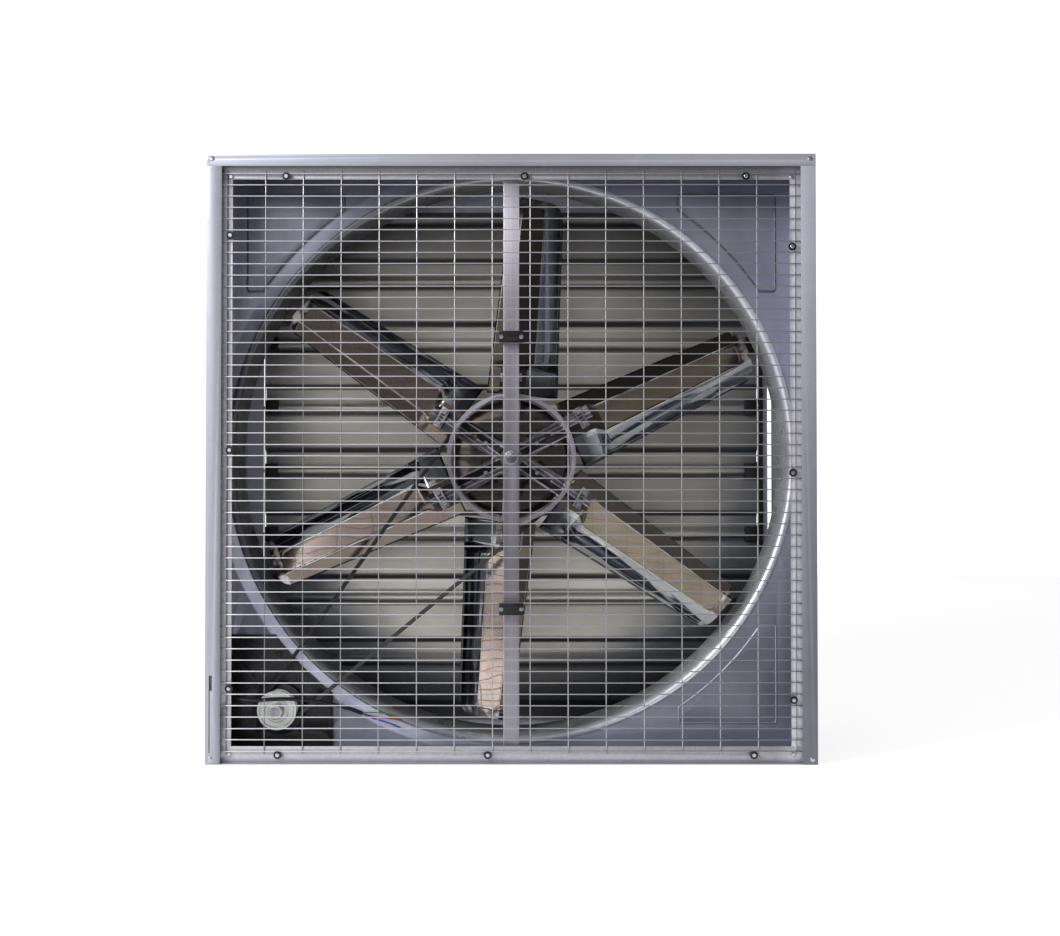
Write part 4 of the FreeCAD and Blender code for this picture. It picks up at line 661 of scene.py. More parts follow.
def finish(name):
    """Finish by name; all are made once."""
    if not FINISHES:
        FINISHES.update(all_finishes(bpy.context.scene.fan_colours))
    return FINISHES[name].look


# Stage
def plain_background(name, tone, glow):
    """Pale surface: a camera, glossy or transmitted ray sees part of its white from the surface itself, and the
    rest from the lamps, so that the object's shadow stays on it."""
    look = bpy.data.materials.new(name)
    look.use_nodes = True
    nodes = look.node_tree.nodes
    nodes.remove(nodes["Principled BSDF"])
    path, paper, white, both, pick = (nodes.new("ShaderNode" + kind) for kind in (
        "LightPath", "BsdfDiffuse", "Emission", "AddShader", "MixShader"))
    paper.inputs["Color"].default_value = (*tone, 1)
    white.inputs["Strength"].default_value = glow
    seen = Value(path.outputs["Is Camera Ray"])
    for ray in ("Is Glossy Ray", "Is Transmission Ray"):
        seen = seen.top(Value(path.outputs[ray]))
    put(pick.inputs[0], seen)
    for source, socket in ((paper, both.inputs[0]), (white, both.inputs[1]), (paper, pick.inputs[1]),
                           (both, pick.inputs[2]), (pick, nodes["Material Output"].inputs["Surface"])):
        put(socket, Value(source.outputs[0]))
    return look


def stage_sheet(name, corners, look):
    """Flat four-cornered sheet of the stage."""
    mesh = bpy.data.meshes.new(name)
    mesh.from_pydata(corners, [], [(0, 1, 2, 3)])
    mesh.materials.append(look)
    sheet = bpy.data.objects.new(name, mesh)
    bpy.context.scene.collection.objects.link(sheet)


def lamp(name, place, size, power):
    """Square soft lamp at a place, facing the fan's centre."""
    light = bpy.data.lights.new(name, "AREA")
    light.size = size
    light.energy = power
    obj = bpy.data.objects.new(name, light)
    bpy.context.scene.collection.objects.link(obj)
    back = np.array(place) - (0, 0, FAN_Z)
    back /= np.linalg.norm(back)
    side = np.cross((0, 0, 1), back)
    side /= np.linalg.norm(side)
    turn = np.eye(4)
    turn[:3, :3] = np.stack([side, np.cross(back, side), back], axis=1)
    turn[:3, 3] = place
    obj.matrix_world = Matrix(turn.tolist())


class FAN_OT_stage(bpy.types.Operator):
    """Floor, backdrop, lamps, even light and the camera at the photograph's place"""
    bl_idname = "exhaust_fan.stage"
    bl_label = "Stage"

    def execute(self, context):
        scene, s = context.scene, context.scene.fan_stage
        floor = plain_background("pale_floor", lin(232, 232, 232), 0.75)
        wall = plain_background("pale_backdrop", lin(232, 232, 232), 0.95)
        front, back, reach, rise = -1.3, 4.2, 7.0, 6.0
        stage_sheet("floor", [(-reach, front, 0), (reach, front, 0), (reach, back, 0), (-reach, back, 0)], floor)
        stage_sheet("backdrop", [(-reach, back, 0), (reach, back, 0), (reach, back, rise), (-reach, back, rise)], wall)
        lamp("key", (-2.6, -1.8, 2.2), 0.9, s.key_power)
        lamp("soft", (-1.6, -2.5, 1.3), 2.2, s.soft_power)
        world = bpy.data.worlds.new("even_light")
        world.use_nodes = True
        light = world.node_tree.nodes["Background"].inputs
        light["Color"].default_value = (0.97, 0.98, 1.0, 1)
        light["Strength"].default_value = s.world
        scene.world = world
        scene.view_settings.view_transform = "Standard"
        camera = bpy.data.cameras.new("photo_camera")
        camera.sensor_fit = "HORIZONTAL"
        camera.sensor_width = 36
        camera.lens = s.focal_pixels / IMAGE[0] * camera.sensor_width
        drop = s.focal_pixels * math.tan(s.tilt)
        camera.shift_x = (IMAGE[0] / 2 - s.centre_pixel[0]) / IMAGE[0]
        camera.shift_y = -(IMAGE[1] / 2 - s.centre_pixel[1] + drop) / IMAGE[0]
        obj = bpy.data.objects.new("photo_camera", camera)
        scene.collection.objects.link(obj)
        obj.location = (0, FRONT_Y - s.distance, FAN_Z)
        obj.rotation_euler = (math.pi / 2 + s.tilt, 0, 0)
        scene.camera = obj
        return {"FINISHED"}


# Cable and leads: the routes of the part's own cords in millimetres, and their lengths in metres
CABLE = ((-655, -99, 147), (-655, -135, 147), (-629, -165, 142), (-586, -172, 138), (-530, -153, 139.5),
         (-467, -136, 133), (-415, -117, 119.5), (-378, -92, 105), (-350, -82, 91))
LEADS = {
    "red": ((-350.3, -80.2, 89.8), (-325, -75.2, 82), (-292, -75.5, 79), (-262, -76, 75)),
    "blue": ((-349.1, -83.5, 89.8), (-325, -80.5, 78), (-290, -78.5, 69.5), (-262, -77, 57)),
    "earth": ((-348.5, -81.4, 92.5), (-325, -77.5, 92), (-295, -77, 91), (-266, -76.5, 82)),
}


def cord_curve(node, route, diameter, look):
    """Round cord on one smooth spline whose control points are the route's."""
    curve = bpy.data.curves.new(node + "_finish", "CURVE")
    curve.dimensions = "3D"
    curve.bevel_depth = diameter / 2
    curve.bevel_resolution = 5
    curve.use_fill_caps = True
    curve.resolution_u = 24
    spline = curve.splines.new("NURBS")
    spline.points.add(len(route) - 1)
    points = np.ones((len(route), 4))
    points[:, :3] = np.array(route) * MM
    spline.points.foreach_set("co", points.ravel())
    spline.order_u = 3
    spline.use_endpoint_u = True
    return new_piece(node + "_finish", curve, "housing", look, [node])


def bare_end(route, reach=0.007, radius=0.0007):
    """Twist of copper strands beyond a lead's end: strand k circles the lead's line at a small radius."""
    start = np.array(route[-1]) * MM
    ahead = start - np.array(route[-2]) * MM
    ahead /= np.linalg.norm(ahead)
    side = np.cross(ahead, (0, 0, 1))
    side /= np.linalg.norm(side)
    count, strands = 5, []
    for strand in range(count):
        along = np.linspace(-0.002, reach, 9)
        twist = strand * 2 * math.pi / count + along * 260
        around = np.arange(6) * math.pi / 3
        points = np.empty((len(along), len(around), 3))
        points[..., 0] = (radius * np.cos(twist))[:, None] + 0.45 * radius * np.cos(around)
        points[..., 1] = along[:, None]
        points[..., 2] = (radius * np.sin(twist))[:, None] + 0.45 * radius * np.sin(around)
        points[[0, -1]] = points[[0, -1]].mean(1, keepdims=True)
        strands.append(grid(points, wrap_columns=True))
    return moved(gathered(strands), start, np.stack([side, ahead, np.cross(side, ahead)], axis=1))


class FAN_OT_cords(bpy.types.Operator):
    """Motor cable, its three leads and their bare ends"""
    bl_idname = "exhaust_fan.cords"
    bl_label = "Cable and leads"

    def execute(self, context):
        cable = cord_curve("motor_cable", CABLE, 0.009, "sheath")
        for name, route in LEADS.items():
            lead = cord_curve(f"lead_{name}", route, 0.003, name)
            copper = shaped(f"lead_{name}_copper", bare_end(route), "copper")
        return {"FINISHED"}


# Fasteners
def solids_of(node):
    """Boxes of a CAD node's separate solids. Each point takes the lowest number among its triangles' corners
    until nothing changes, so that a solid's points share one number."""
    mesh = frame["nodes"][node].data
    points = np.empty(len(mesh.vertices) * 3, np.float32)
    mesh.vertices.foreach_get("co", points)
    corners = np.empty(len(mesh.loops), np.int32)
    mesh.loops.foreach_get("vertex_index", corners)
    places, which = np.unique(np.round(points.reshape(-1, 3), 6), axis=0, return_inverse=True)
    triangles = which.ravel()[corners].reshape(-1, 3)
    label, last = np.arange(len(places)), None
    while last is None or (label != last).any():
        last = label.copy()
        np.minimum.at(label, triangles.ravel(), np.repeat(label[triangles].min(1), 3))
        label = label[label]
    return [(places[label == first].min(0), places[label == first].max(0)) for first in np.unique(label)]


def hex_bolt(length, head, corner, shank, nut=0.0):
    """Bolt along +Y from the top of its chamfered hexagon head, with an optional nut at its end."""
    edge, top = 0.16 * corner, corner * 0.8
    parts = [lathe([(0, 0), (0, top), (edge, corner), (head, corner), (head, 0)], 48, 6),
             lathe([(head * 0.5, 0), (head * 0.5, shank), (length, shank), (length, 0)], 20)]
    if nut:
        parts.append(lathe([(length - nut, 0), (length - nut, corner), (length - edge, corner), (length, top),
                            (length, 0)], 48, 6))
    return gathered(parts)


def corner_rivet(long):
    """Rivet along +Y from the top of its domed head."""
    height, radius, shank = 0.002, 0.006, 0.003
    lean = np.radians(np.linspace(90, 0, 7))
    dome = np.stack([height - height * np.sin(lean), radius * np.cos(lean)], axis=1)
    return lathe(np.concatenate([dome, [(height, shank), (long, shank), (long, 0)]]), 24)


# A solid of the guard's fasteners that is no longer than this is a washer
WASHER = 0.003


def guard_washer(long):
    """Washer with eased rims, or nothing where the solid is a screw."""
    rim, hole, ease, gauge = 0.009, 0.0027, 0.0004, 0.0015
    return lathe([(0, hole), (0, rim - ease), (ease, rim), (gauge - ease, rim), (gauge, rim - ease), (gauge, hole),
                  (0, hole)], 28) if long <= WASHER else None


def guard_screw(long):
    """Screw with its nut, or nothing where the solid is a washer."""
    return hex_bolt(long, 0.0035, 0.005, 0.0025, 0.004) if long > WASHER else None


def clamp_bolt(long):
    """Bolt and nut of a blade clamp."""
    return hex_bolt(long, 0.005, 0.0065, 0.004, 0.005)


def motor_bolt(long):
    """Bolt of the motor plate, or the longer one of the motor's flange, which has no nut."""
    return hex_bolt(long, 0.005, 0.007, 0.004, 0.005 if long < 0.017 else 0)


def fastened(name, node, patch_of, look, body="housing", stands=True, outward=False):
    """Piece for a node of fasteners: each solid gets the patch for its length, or none, put at the front of its box.
    Outward ones have their heads at the back where they are behind the middle."""
    parts = []
    for low, high in solids_of(node):
        long = high[1] - low[1]
        patch = patch_of(long)
        if patch and outward and low[1] > 0:
            patch = (0, long, 0) + patch[0] * (1, -1, 1), *patch[1:]
        if patch:
            parts.append(moved(patch, ((low[0] + high[0]) / 2, low[1], (low[2] + high[2]) / 2)))
    shaped(name, gathered(parts), look, [node] if stands else (), body)


# Box of folded sheets, with the venturi panel and the shutter's jambs
def arc(centre, radius, start, end, steps=7):
    """Points of an arc between two angles in degrees, as pairs."""
    angle = np.radians(np.linspace(start, end, steps))
    return np.stack([centre[0] + radius * np.cos(angle), centre[1] + radius * np.sin(angle)], axis=1)


def corner_field(sign_x, sign_z):
    """Pressed line round a corner's field, on the panel's front: along the box's sides and round the ring, with a
    cosine hump for its section."""
    outer, inner, ring, ease = HALF_WIDTH - 0.0665, HALF_WIDTH - 0.2955, 0.707, 0.006
    low = math.degrees(math.asin(inner / ring))
    edge = np.concatenate([arc((outer - ease, outer - ease), ease, 0, 90),
                           np.linspace((outer - ease, outer), (inner + ease, outer), 12)[1:-1],
                           arc((inner + ease, outer - ease), ease, 90, 180), arc((0, 0), ring, 90 - low, low, 24),
                           arc((outer - ease, inner + ease), ease, 270, 360)])
    ahead = np.roll(edge, -1, axis=0) - np.roll(edge, 1, axis=0)
    ahead /= np.linalg.norm(ahead, axis=1, keepdims=True)
    across, half, rise = np.linspace(-1, 1, 9), 0.003, 0.0011
    place = edge[:, None] + np.stack([-ahead[:, 1], ahead[:, 0]], axis=1)[:, None] * across[:, None] * half
    points = np.empty((len(edge), len(across), 3))
    points[..., 0] = sign_x * place[..., 0]
    points[..., 1] = span("venturi_panel", 1)[0] + 0.001 - rise * (1 + np.cos(math.pi * across))
    points[..., 2] = FAN_Z + sign_z * place[..., 1]
    return grid(points, wrap_rows=True)


class FAN_OT_box(bpy.types.Operator):
    """Folded box panels, venturi panel, jambs and rivets"""
    bl_idname = "exhaust_fan.box"
    bl_label = "Box"

    def execute(self, context):
        for node, look in (("frame_left", "box"), ("frame_right", "box_right_shaded"), ("frame_top", "box_top_shaded"),
                           ("frame_bottom", "box"), ("shutter_jamb_left", "jamb"), ("shutter_jamb_right", "jamb"),
                           ("venturi_panel", "panel")):
            softened(node, look, context.scene.fan_sizes.bend / 3)
        for name, sign_x, sign_z in (("upper_left", -1, 1), ("upper_right", 1, 1), ("lower_right", 1, -1)):
            line = shaped("panel_line_" + name, corner_field(sign_x, sign_z), "pressed")
            thickened(line, 0.0006)
        fastened("corner_rivets_finish", "corner_rivets", corner_rivet, "zinc", outward=True)
        return {"FINISHED"}


# Wire guard
def wires(starts, reach, axis, radius, wander, seed):
    """Straight round wires from their starts along an axis: rings of 8 points, each wire wandering by two slow
    sine waves and closed by a rounded end."""
    count, stations, sides = len(starts), 26, 8
    along = np.linspace(0, 1, stations)
    share = np.concatenate([[0, 0, 0.0006], along[1:-1], [0.9994, 1, 1]])
    girth = np.concatenate([[0, 0.6, 1], np.ones(stations - 2), [1, 0.6, 0]]) * radius
    phase = np.random.default_rng(seed).uniform(0, 2 * math.pi, (4, count, 1))
    sway = wander * 0.5 * (np.sin(share * 5.1 + phase[0]) + np.sin(share * 11.3 + phase[1]))
    bow = wander * 0.2 * (np.sin(share * 6.7 + phase[2]) + np.sin(share * 13.9 + phase[3]))
    angle = np.arange(sides) * 2 * math.pi / sides
    points = np.empty((count, len(share), sides, 3))
    across = 2 - axis
    points[..., axis] = (starts[:, axis, None] + share * reach)[..., None]
    points[..., across] = (starts[:, across, None] + sway)[..., None] + girth[:, None] * np.cos(angle)
    points[..., 1] = (starts[:, 1, None] + bow)[..., None] + girth[:, None] * np.sin(angle)
    return gathered([grid(wire, wrap_columns=True) for wire in points])


class FAN_OT_guard(bpy.types.Operator):
    """Welded wire guard, its rails, screws, washers and clips"""
    bl_idname = "exhaust_fan.guard"
    bl_label = "Wire guard"

    def execute(self, context):
        boxes = solids_of("guard_mesh")
        seat, radius, wander = 0.0015, 0.00125, context.scene.fan_sizes.wire_wander
        for name, axis, seed, nodes in (("rows", 0, 3, ["guard_mesh"]), ("columns", 2, 4, [])):
            starts = np.array([low for low, high in boxes if high[axis] - low[axis] > 0.1])
            starts[:, [1, 2 - axis]] += seat
            reach = max(high[axis] - low[axis] for low, high in boxes)
            shaped("guard_" + name, wires(starts, reach, axis, radius, wander, seed), name, nodes,
                   weld=False)
        softened("guard_rails", "rail", 0.0004)
        softened("guard_clip_plates", "nylon", 0.0012, 3)
        softened("guard_clip_saddles", "nylon", 0.0008)
        fastened("guard_screws_finish", "guard_screws", guard_screw, "zinc")
        fastened("guard_washers", "guard_screws", guard_washer, "nylon", stands=False)
        return {"FINISHED"}


class FAN_OT_ring(bpy.types.Operator):
    """Spun bell-mouth ring"""
    bl_idname = "exhaust_fan.ring"
    bl_label = "Bell-mouth ring"

    def execute(self, context):
        front, back = span("venturi_ring", 1)
        flange = span("venturi_ring", 0)[1]
        gauge, mouth = 0.0015, 0.012
        lip, curve = flange - 0.005, mouth - gauge / 2
        turn = np.radians(np.linspace(0, 90, 20))
        bell = np.stack([front + mouth - curve * np.cos(turn), lip - curve * np.sin(turn)], axis=1)
        profile = np.concatenate([[(front + gauge / 2, flange)], bell, [(back, lip - curve)]])
        ring = shaped("venturi_ring_finish", moved(lathe(profile, 288), (0, 0, FAN_Z)), "ring",
                      ["venturi_ring"])
        thickened(ring, gauge)
        return {"FINISHED"}


class FAN_OT_carrier(bpy.types.Operator):
    """Centre bar, its brackets, the axle, its nut and its retainer"""
    bl_idname = "exhaust_fan.carrier"
    bl_label = "Centre bar and axle"

    def execute(self, context):
        softened("centre_bar", "bar", 0.0009, 3)
        softened("bar_brackets", "bar", 0.0006)
        softened("axle_nut", "zinc", 0.0005)
        softened("axle", "steel", 0.0005)
        softened("axle_retainer", "zinc", 0.0005)
        return {"FINISHED"}


# Fan wheel: places on a blade in millimetres, as reaches from the fan's axis, and sides from the blade's line to
# its leading edge
ROOT, NECK, SHOULDER, TIP, WHEEL = 150.0, 205.0, 236.0, 622.5, 627.0
LEAD, RIDGE, CREASE, TRAIL = 71.5, 31.0, -38.0, -98.5
BLADE_ANGLES = np.radians(25 + 60 * np.arange(6))
NARROWING = 0.26


def smooth_step(amount):
    """Ease from 0 to 1 with level ends."""
    amount = np.clip(amount, 0, 1)
    return amount * amount * (3 - 2 * amount)


def blade_depth(side, ridge, crease, panel_rise, tail_rise=48):
    """Depth across a blade behind its front ridge: straight lines for the leading fold and the panel, and a tail
    that steepens evenly and ends in a narrow lip."""
    fold = 10 * (side - ridge) / (LEAD - ridge)
    panel = panel_rise * (ridge - side) / (ridge - crease)
    across = np.clip((crease - side) / (crease - TRAIL), 0, 0.91)
    lip = np.maximum(0, TRAIL + 5.4 - side) * 0.2
    tail = panel_rise + tail_rise * (0.7 * across + 0.3 * across ** 2) + lip
    return np.where(side > ridge, fold, np.where(side > crease, panel, tail))


def pan_edge(reach, side, narrow):
    """Distance to the outline of the pressed pan: a box with round corners, round as a bullet at the root."""
    half = 34.5 * narrow
    middle_reach, long_half = 402.0, 196.0
    corner = np.where(reach < middle_reach, half * 0.86, 17.0)
    out_reach = np.abs(reach - middle_reach) - long_half + corner
    out_side = np.abs(side + 3.5 * narrow) - half + corner
    outside = np.hypot(np.maximum(out_reach, 0), np.maximum(out_side, 0))
    return outside + np.minimum(np.maximum(out_reach, out_side), 0) - corner


def blade_patch(bead_height):
    """Blade along +X from its flat root to its folded tip. The root eases into the body over the shoulder, the body
    narrows evenly, the tip's corners are circular, and a fine bead follows the pan's outline."""
    side = np.concatenate([np.linspace(LEAD, 37, 7), np.linspace(34.5, 27.5, 8), np.linspace(25, -32, 24),
                           np.linspace(-34.5, -41.5, 8), np.linspace(-46, -90, 10), np.linspace(-92.5, TRAIL, 5)])
    rows = np.concatenate([np.linspace(ROOT, 186, 7), np.linspace(188, 240, 37), np.linspace(247, 584, 28),
                           np.linspace(587, TIP, 28)])[:, None]
    corner = 30.0
    end = 1 - (TIP - ROOT) / (WHEEL - ROOT) * NARROWING
    over = np.maximum(0, np.maximum(side * end - (LEAD * end - corner), TRAIL * end + corner - side * end))
    edge = TIP - (corner - np.sqrt(corner ** 2 - over.clip(0, corner) ** 2))
    reach = ROOT + (rows - ROOT) * (edge - ROOT) / (TIP - ROOT)
    share = (reach - ROOT) / (WHEEL - ROOT)
    narrow = 1 - NARROWING * share
    ease = smooth_step((reach - NECK) / (SHOULDER - NECK))
    root_ridge, root_crease = 44, -20
    root_side = np.interp(-side, (-LEAD, -RIDGE, -CREASE, -TRAIL), (-LEAD, -root_ridge, -root_crease, -TRAIL)) * -1
    place = narrow * ((1 - ease) * root_side + ease * side)
    root_depth = 137 + blade_depth(root_side, root_ridge, root_crease, 0)
    fold = 7 * np.clip((reach - 599) / 28, 0, 1)
    body_depth = 139 + 8 * share + blade_depth(side, RIDGE, CREASE, 24) + fold
    bead = bead_height / MM * np.exp(-(pan_edge(reach, narrow * side, narrow) / 1.7) ** 2)
    depth = (1 - ease) * root_depth + ease * body_depth - bead * smooth_step((reach - 196) / 8)
    points = np.stack(np.broadcast_arrays(reach, depth - 200, place), axis=2)
    uv = np.stack(np.broadcast_arrays((reach - ROOT) / (TIP - ROOT), (LEAD - side) / (LEAD - TRAIL)), axis=2)
    return grid(points * MM, uv=uv)


class FAN_OT_blades(bpy.types.Operator):
    """Six pressed blades"""
    bl_idname = "exhaust_fan.blades"
    bl_label = "Blades"

    def execute(self, context):
        sizes = context.scene.fan_sizes
        points, faces, uv = blade_patch(sizes.blade_bead)
        for index, angle in enumerate(BLADE_ANGLES):
            name, c, s = f"fan_blade_{index + 1}", math.cos(angle), math.sin(angle)
            turn = np.array([[c, 0, -s], [0, 1, 0], [s, 0, c]])
            patch = moved((points, faces, uv + (index, 0)), (0, 0, FAN_Z), turn)
            thickened(shaped(name + "_finish", patch, "blade", [name], "fan_wheel", sharp=50),
                      sizes.blade_sheet)
        return {"FINISHED"}


class FAN_OT_wheel(bpy.types.Operator):
    """Cast fan pulley with its arms, blade clamps, bolts and bearings"""
    bl_idname = "exhaust_fan.wheel"
    bl_label = "Fan pulley"

    def execute(self, context):
        rounding = context.scene.fan_sizes.casting_round
        softened("fan_pulley", "wheel", rounding * 0.6, body="fan_wheel")
        softened("hub_plate", "hub_plate", 0.0004, body="fan_wheel")
        softened("blade_clamps", "clamp", rounding * 0.4, body="fan_wheel")
        fastened("blade_bolts_finish", "blade_bolts", clamp_bolt, "zinc", "fan_wheel")
        dressed("steel", "bearing_outer_races", "bearing_inner_races")
        return {"FINISHED"}


# Belt drive
def belt_loop(steps=60, straight=24):
    """Line of the belt's outer face as points with outward directions: an arc round each pulley from tangent to
    tangent, joined by straight runs."""
    outer, small = 0.1505, 0.0455
    heading = math.atan2(MOTOR_Z - FAN_Z, MOTOR_X)
    lean = math.acos((outer - small) / math.hypot(MOTOR_X, MOTOR_Z - FAN_Z))
    large = np.linspace(heading + lean, heading + 2 * math.pi - lean, 2 * steps)
    little = np.linspace(heading - lean, heading + lean, steps)
    angle = np.concatenate([large, np.full(straight, large[-1]), little, np.full(straight, little[-1])])
    ray = np.stack([np.cos(angle), np.zeros(len(angle)), np.sin(angle)], axis=1)
    fan, motor = np.array((0, BELT_Y, FAN_Z)), np.array((MOTOR_X, BELT_Y, MOTOR_Z))
    start = 2 * steps + straight
    round_fan, round_motor = fan + outer * ray[:2 * steps], motor + small * ray[start:start + steps]
    share = np.linspace(0, 1, straight + 2)[1:-1, None]
    points = np.concatenate([round_fan, round_fan[-1] + share * (round_motor[0] - round_fan[-1]),
                             round_motor, round_motor[-1] + share * (round_fan[0] - round_motor[-1])])
    return points, ray


# Belt section: places along the shaft from its middle, and heights from its outer face
BELT_SECTION = np.array(((-7, -0.5), (-6.5, 0), (-3, 0), (3, 0), (6.5, 0), (7, -0.5), (4.1, -8.5), (3.6, -9),
                         (-3.6, -9), (-4.1, -8.5))) * MM
# Motor pulley: places along the shaft from the belt's middle and radii, from the hub's bore round to it again
PULLEY_LINE = np.array(((-34, 12.1), (-34, 12.4), (-33.4, 13), (-33.4, 14.6), (-34, 15.2), (-32.6, 17), (-15, 17),
                        (-13, 18.2), (-12, 20.5), (-12, 26), (-10.6, 28), (-10.6, 38.5), (-12, 40.5), (-12, 45.4),
                        (-11.4, 46), (-7.9, 46), (-7.3, 45.6), (-4.1, 35.7), (-3.6, 35.2), (3.6, 35.2),
                        (4.1, 35.7), (7.3, 45.6), (7.9, 46), (11.4, 46), (12, 45.4), (12, 12.1), (-34, 12.1))) * MM


class FAN_OT_drive(bpy.types.Operator):
    """V-belt and motor pulley"""
    bl_idname = "exhaust_fan.drive"
    bl_label = "Belt drive"

    def execute(self, context):
        line, ray = belt_loop()
        points = line[:, None] + ray[:, None] * BELT_SECTION[:, 1, None]
        points[..., 1] += BELT_SECTION[:, 0]
        gone = np.concatenate([[0], np.cumsum(np.linalg.norm(np.diff(line, axis=0), axis=1))])
        uv = np.stack(np.meshgrid(gone, np.linspace(0, 0.05, len(BELT_SECTION)), indexing="ij"), axis=2)
        shaped("drive_belt_finish", grid(points, True, True, uv), "belt", ["drive_belt"])
        pulley = moved(lathe(PULLEY_LINE, 96), (MOTOR_X, BELT_Y, MOTOR_Z))
        shaped("motor_pulley_finish", pulley, "turned", ["motor_pulley"], "motor_rotor", sharp=30)
        return {"FINISHED"}


class FAN_OT_motor(bpy.types.Operator):
    """Motor with its plate, shields, finned casing, fan cover, terminal box and gland"""
    bl_idname = "exhaust_fan.motor"
    bl_label = "Motor"

    def execute(self, context):
        for node, width in (("motor_plate", 0.0006), ("motor_front_shield", 0.001), ("motor_rear_shield", 0.001),
                            ("motor_casing", 0.0006), ("motor_fan_cover", 0.0004)):
            softened(node, "enamel", width)
        softened("terminal_box", "enamel", 0.002, 3)
        softened("cable_gland", "nylon", 0.0006)
        fastened("motor_bolts_finish", "motor_bolts", motor_bolt, "enamel")
        dressed("steel", "motor_bearings", "motor_rotor_shaft")
        dressed("iron", "motor_stator")
        dressed("nylon", "motor_cooling_fan")
        dressed("sheath", "motor_lead")
        return {"FINISHED"}


# Shutter
def slat_patch(half, gauge):
    """Slat sheet about its hinge: its section along X, down the front and up the back, which meet at the ends."""
    line = np.array(SLAT_LINE) * MM
    step = np.gradient(line, axis=0)
    side = np.stack([step[:, 1], -step[:, 0]], axis=1)
    side *= gauge / 2 / np.linalg.norm(side, axis=1, keepdims=True)
    loop = np.concatenate([line + side, (line - side)[::-1]])
    inset = 0.0002
    across = np.concatenate([[-half], np.linspace(inset - half, half - inset, 47), [half]])
    points = np.empty((len(loop), len(across), 3))
    points[..., 0] = across
    points[..., 1:] = loop[:, None]
    points[:, [0, -1], 1:] = np.concatenate([line, line[::-1]])[:, None]
    down = np.minimum((SLAT_TOP * MM - line[:, 1]) / (SLAT_HEIGHT * MM), 0.999)
    uv = np.stack(np.meshgrid(np.concatenate([down, 1 + down[::-1]]), across, indexing="ij")[::-1], axis=2)
    return grid(points, True, uv=uv)


def block(low, high, rounding, steps=4):
    """Rounded block: rounded rectangles in X and Z, drawn in along a quarter circle at both ends of Y."""
    low, high = np.array(low), np.array(high)
    centre, half = (low + high) / 2, (high - low) / 2
    turn = np.radians(np.linspace(0, 90, steps))
    quarter = np.concatenate([turn + corner * math.pi / 2 for corner in range(4)])
    sign_x = np.repeat([1, -1, -1, 1], steps)
    sign_z = np.repeat([1, 1, -1, -1], steps)
    lean = np.radians(np.concatenate([[-90], np.linspace(-90, 0, steps), np.linspace(0, 90, steps), [90]]))
    radius = rounding * np.cos(lean)[:, None]
    flat = np.ones(len(lean))[:, None]
    flat[0] = flat[-1] = 0
    ends = np.where(lean > 0, 1, -1) * (half[1] - rounding) + rounding * np.sin(lean)
    points = np.empty((len(lean), len(quarter), 3))
    points[..., 0] = centre[0] + flat * sign_x * (half[0] - rounding) + radius * np.cos(quarter)
    points[..., 1] = centre[1] + ends[:, None]
    points[..., 2] = centre[2] + flat * sign_z * (half[2] - rounding) + radius * np.sin(quarter)
    return grid(points, wrap_columns=True)


def slat_fittings():
    """Moulded end blocks of a slat with their pivots, and the lever and link pin of the right one."""
    parts = []
    for side in (-1, 1):
        low, high = sorted((side * 0.598, side * 0.632))
        start, ease, end = side * 0.631, side * 0.0008, side * 0.649
        pivot = [(start, 0), (start, 0.004), (end - ease, 0.004), (end, 0.0032), (end, 0)]
        parts += [block((low, -0.018, -0.019), (high, 0.002, 0.019), 0.0025), lathe(pivot, 20, axis=0)]
    lever, lean = 0.024, math.radians(40)
    place = (0, -lever * math.cos(lean), lever * math.sin(lean))
    lug = [(0.6235, 0), (0.6235, 0.007), (0.6245, 0.008), (0.631, 0.008), (0.632, 0.007), (0.632, 0)]
    pin = [(0.631, 0), (0.631, 0.003), (0.6418, 0.003), (0.6425, 0.0024), (0.6425, 0)]
    return gathered(parts + [moved(lathe(lug, 28, axis=0), place), moved(lathe(pin, 16, axis=0), place)])


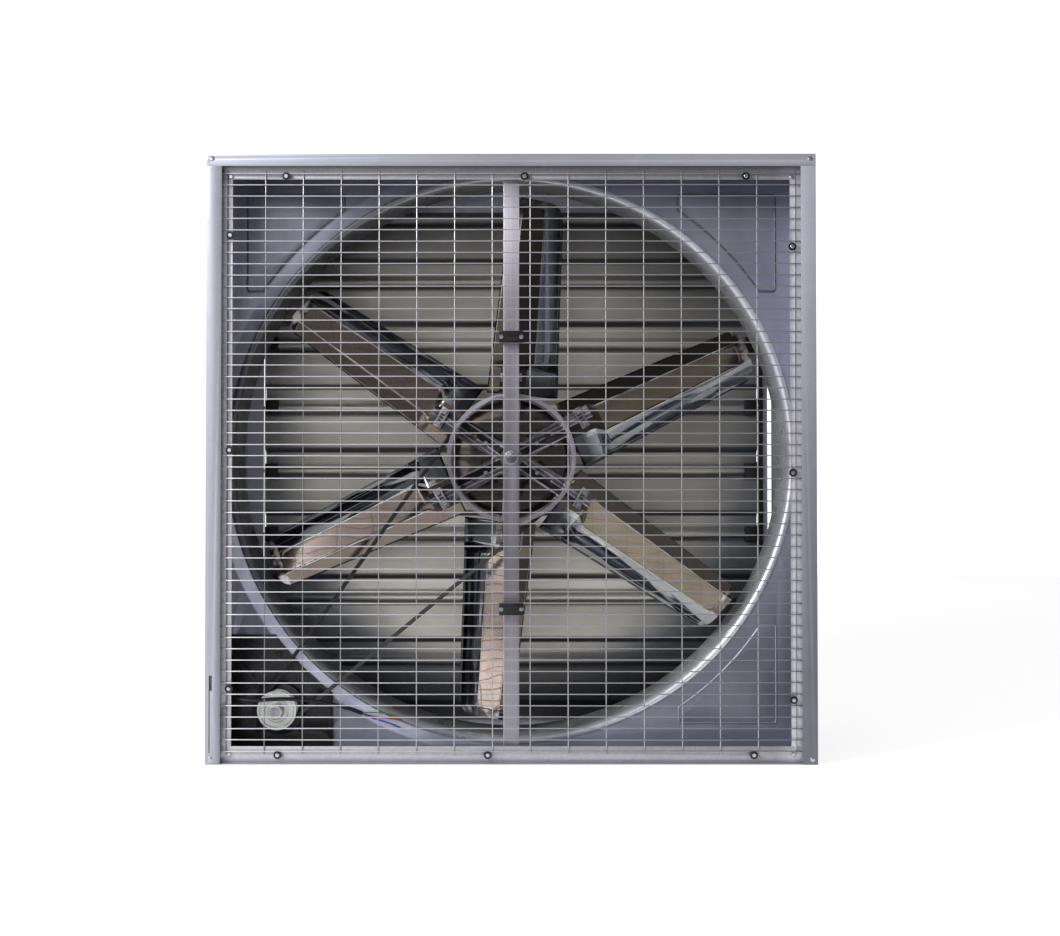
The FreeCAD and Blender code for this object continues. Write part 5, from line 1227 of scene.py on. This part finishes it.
class FAN_OT_shutter(bpy.types.Operator):
    """Shutter slats with their end blocks, the link and the bushes"""
    bl_idname = "exhaust_fan.shutter"
    bl_label = "Shutter"

    def execute(self, context):
        sheet, fittings = slat_patch(0.632, context.scene.fan_sizes.slat_sheet), slat_fittings()
        for index, (_, y, z) in enumerate(SLAT_HINGES):
            slat = f"slat_{index + 1}"
            body = slat + "_body"
            shaped(slat + "_sheet", moved(sheet, (0, y, z)), "slat", [slat], body, sharp=60)
            shaped(slat + "_blocks", moved(fittings, (0, y, z)), "nylon", body=body)
        softened("shutter_link", "nylon", 0.001, body="link")
        dressed("nylon", "shutter_bushes")
        return {"FINISHED"}


class FAN_PT_pieces(bpy.types.Panel):
    """Buttons for the fan's pieces"""
    bl_idname = "FAN_PT_pieces"
    bl_label = "Exhaust fan"
    bl_space_type = "VIEW_3D"
    bl_region_type = "UI"
    bl_category = "Exhaust fan"

    def draw(self, context):
        for operator in OPERATORS:
            self.layout.operator(operator.bl_idname)


OPERATORS = (FAN_OT_stage, FAN_OT_cords, FAN_OT_box, FAN_OT_guard, FAN_OT_ring, FAN_OT_carrier, FAN_OT_wheel,
             FAN_OT_blades, FAN_OT_drive, FAN_OT_motor, FAN_OT_shutter)
SETTINGS = {"fan_colours": FanColours, "fan_sizes": FanSizes, "fan_stage": StageSettings}


def register():
    """Make the settings, operators and panel known to Blender."""
    for item in (*SETTINGS.values(), *OPERATORS, FAN_PT_pieces):
        bpy.utils.register_class(item)
    for name, group in SETTINGS.items():
        setattr(bpy.types.Scene, name, bpy.props.PointerProperty(type=group))


def unregister():
    """Take them out again."""
    for name in SETTINGS:
        delattr(bpy.types.Scene, name)
    for item in (FAN_PT_pieces, *reversed(OPERATORS), *reversed(SETTINGS.values())):
        bpy.utils.unregister_class(item)


def main():
    """Build every piece in order."""
    register()
    if "Cube" in bpy.data.objects:
        bpy.data.objects.remove(bpy.data.objects["Cube"])
    bpy.ops.exhaust_fan.stage()
    bpy.ops.exhaust_fan.cords()
    bpy.ops.exhaust_fan.box()
    bpy.ops.exhaust_fan.guard()
    bpy.ops.exhaust_fan.ring()
    bpy.ops.exhaust_fan.carrier()
    bpy.ops.exhaust_fan.wheel()
    bpy.ops.exhaust_fan.blades()
    bpy.ops.exhaust_fan.drive()
    bpy.ops.exhaust_fan.motor()
    bpy.ops.exhaust_fan.shutter()


if __name__ == "__main__":
    main()
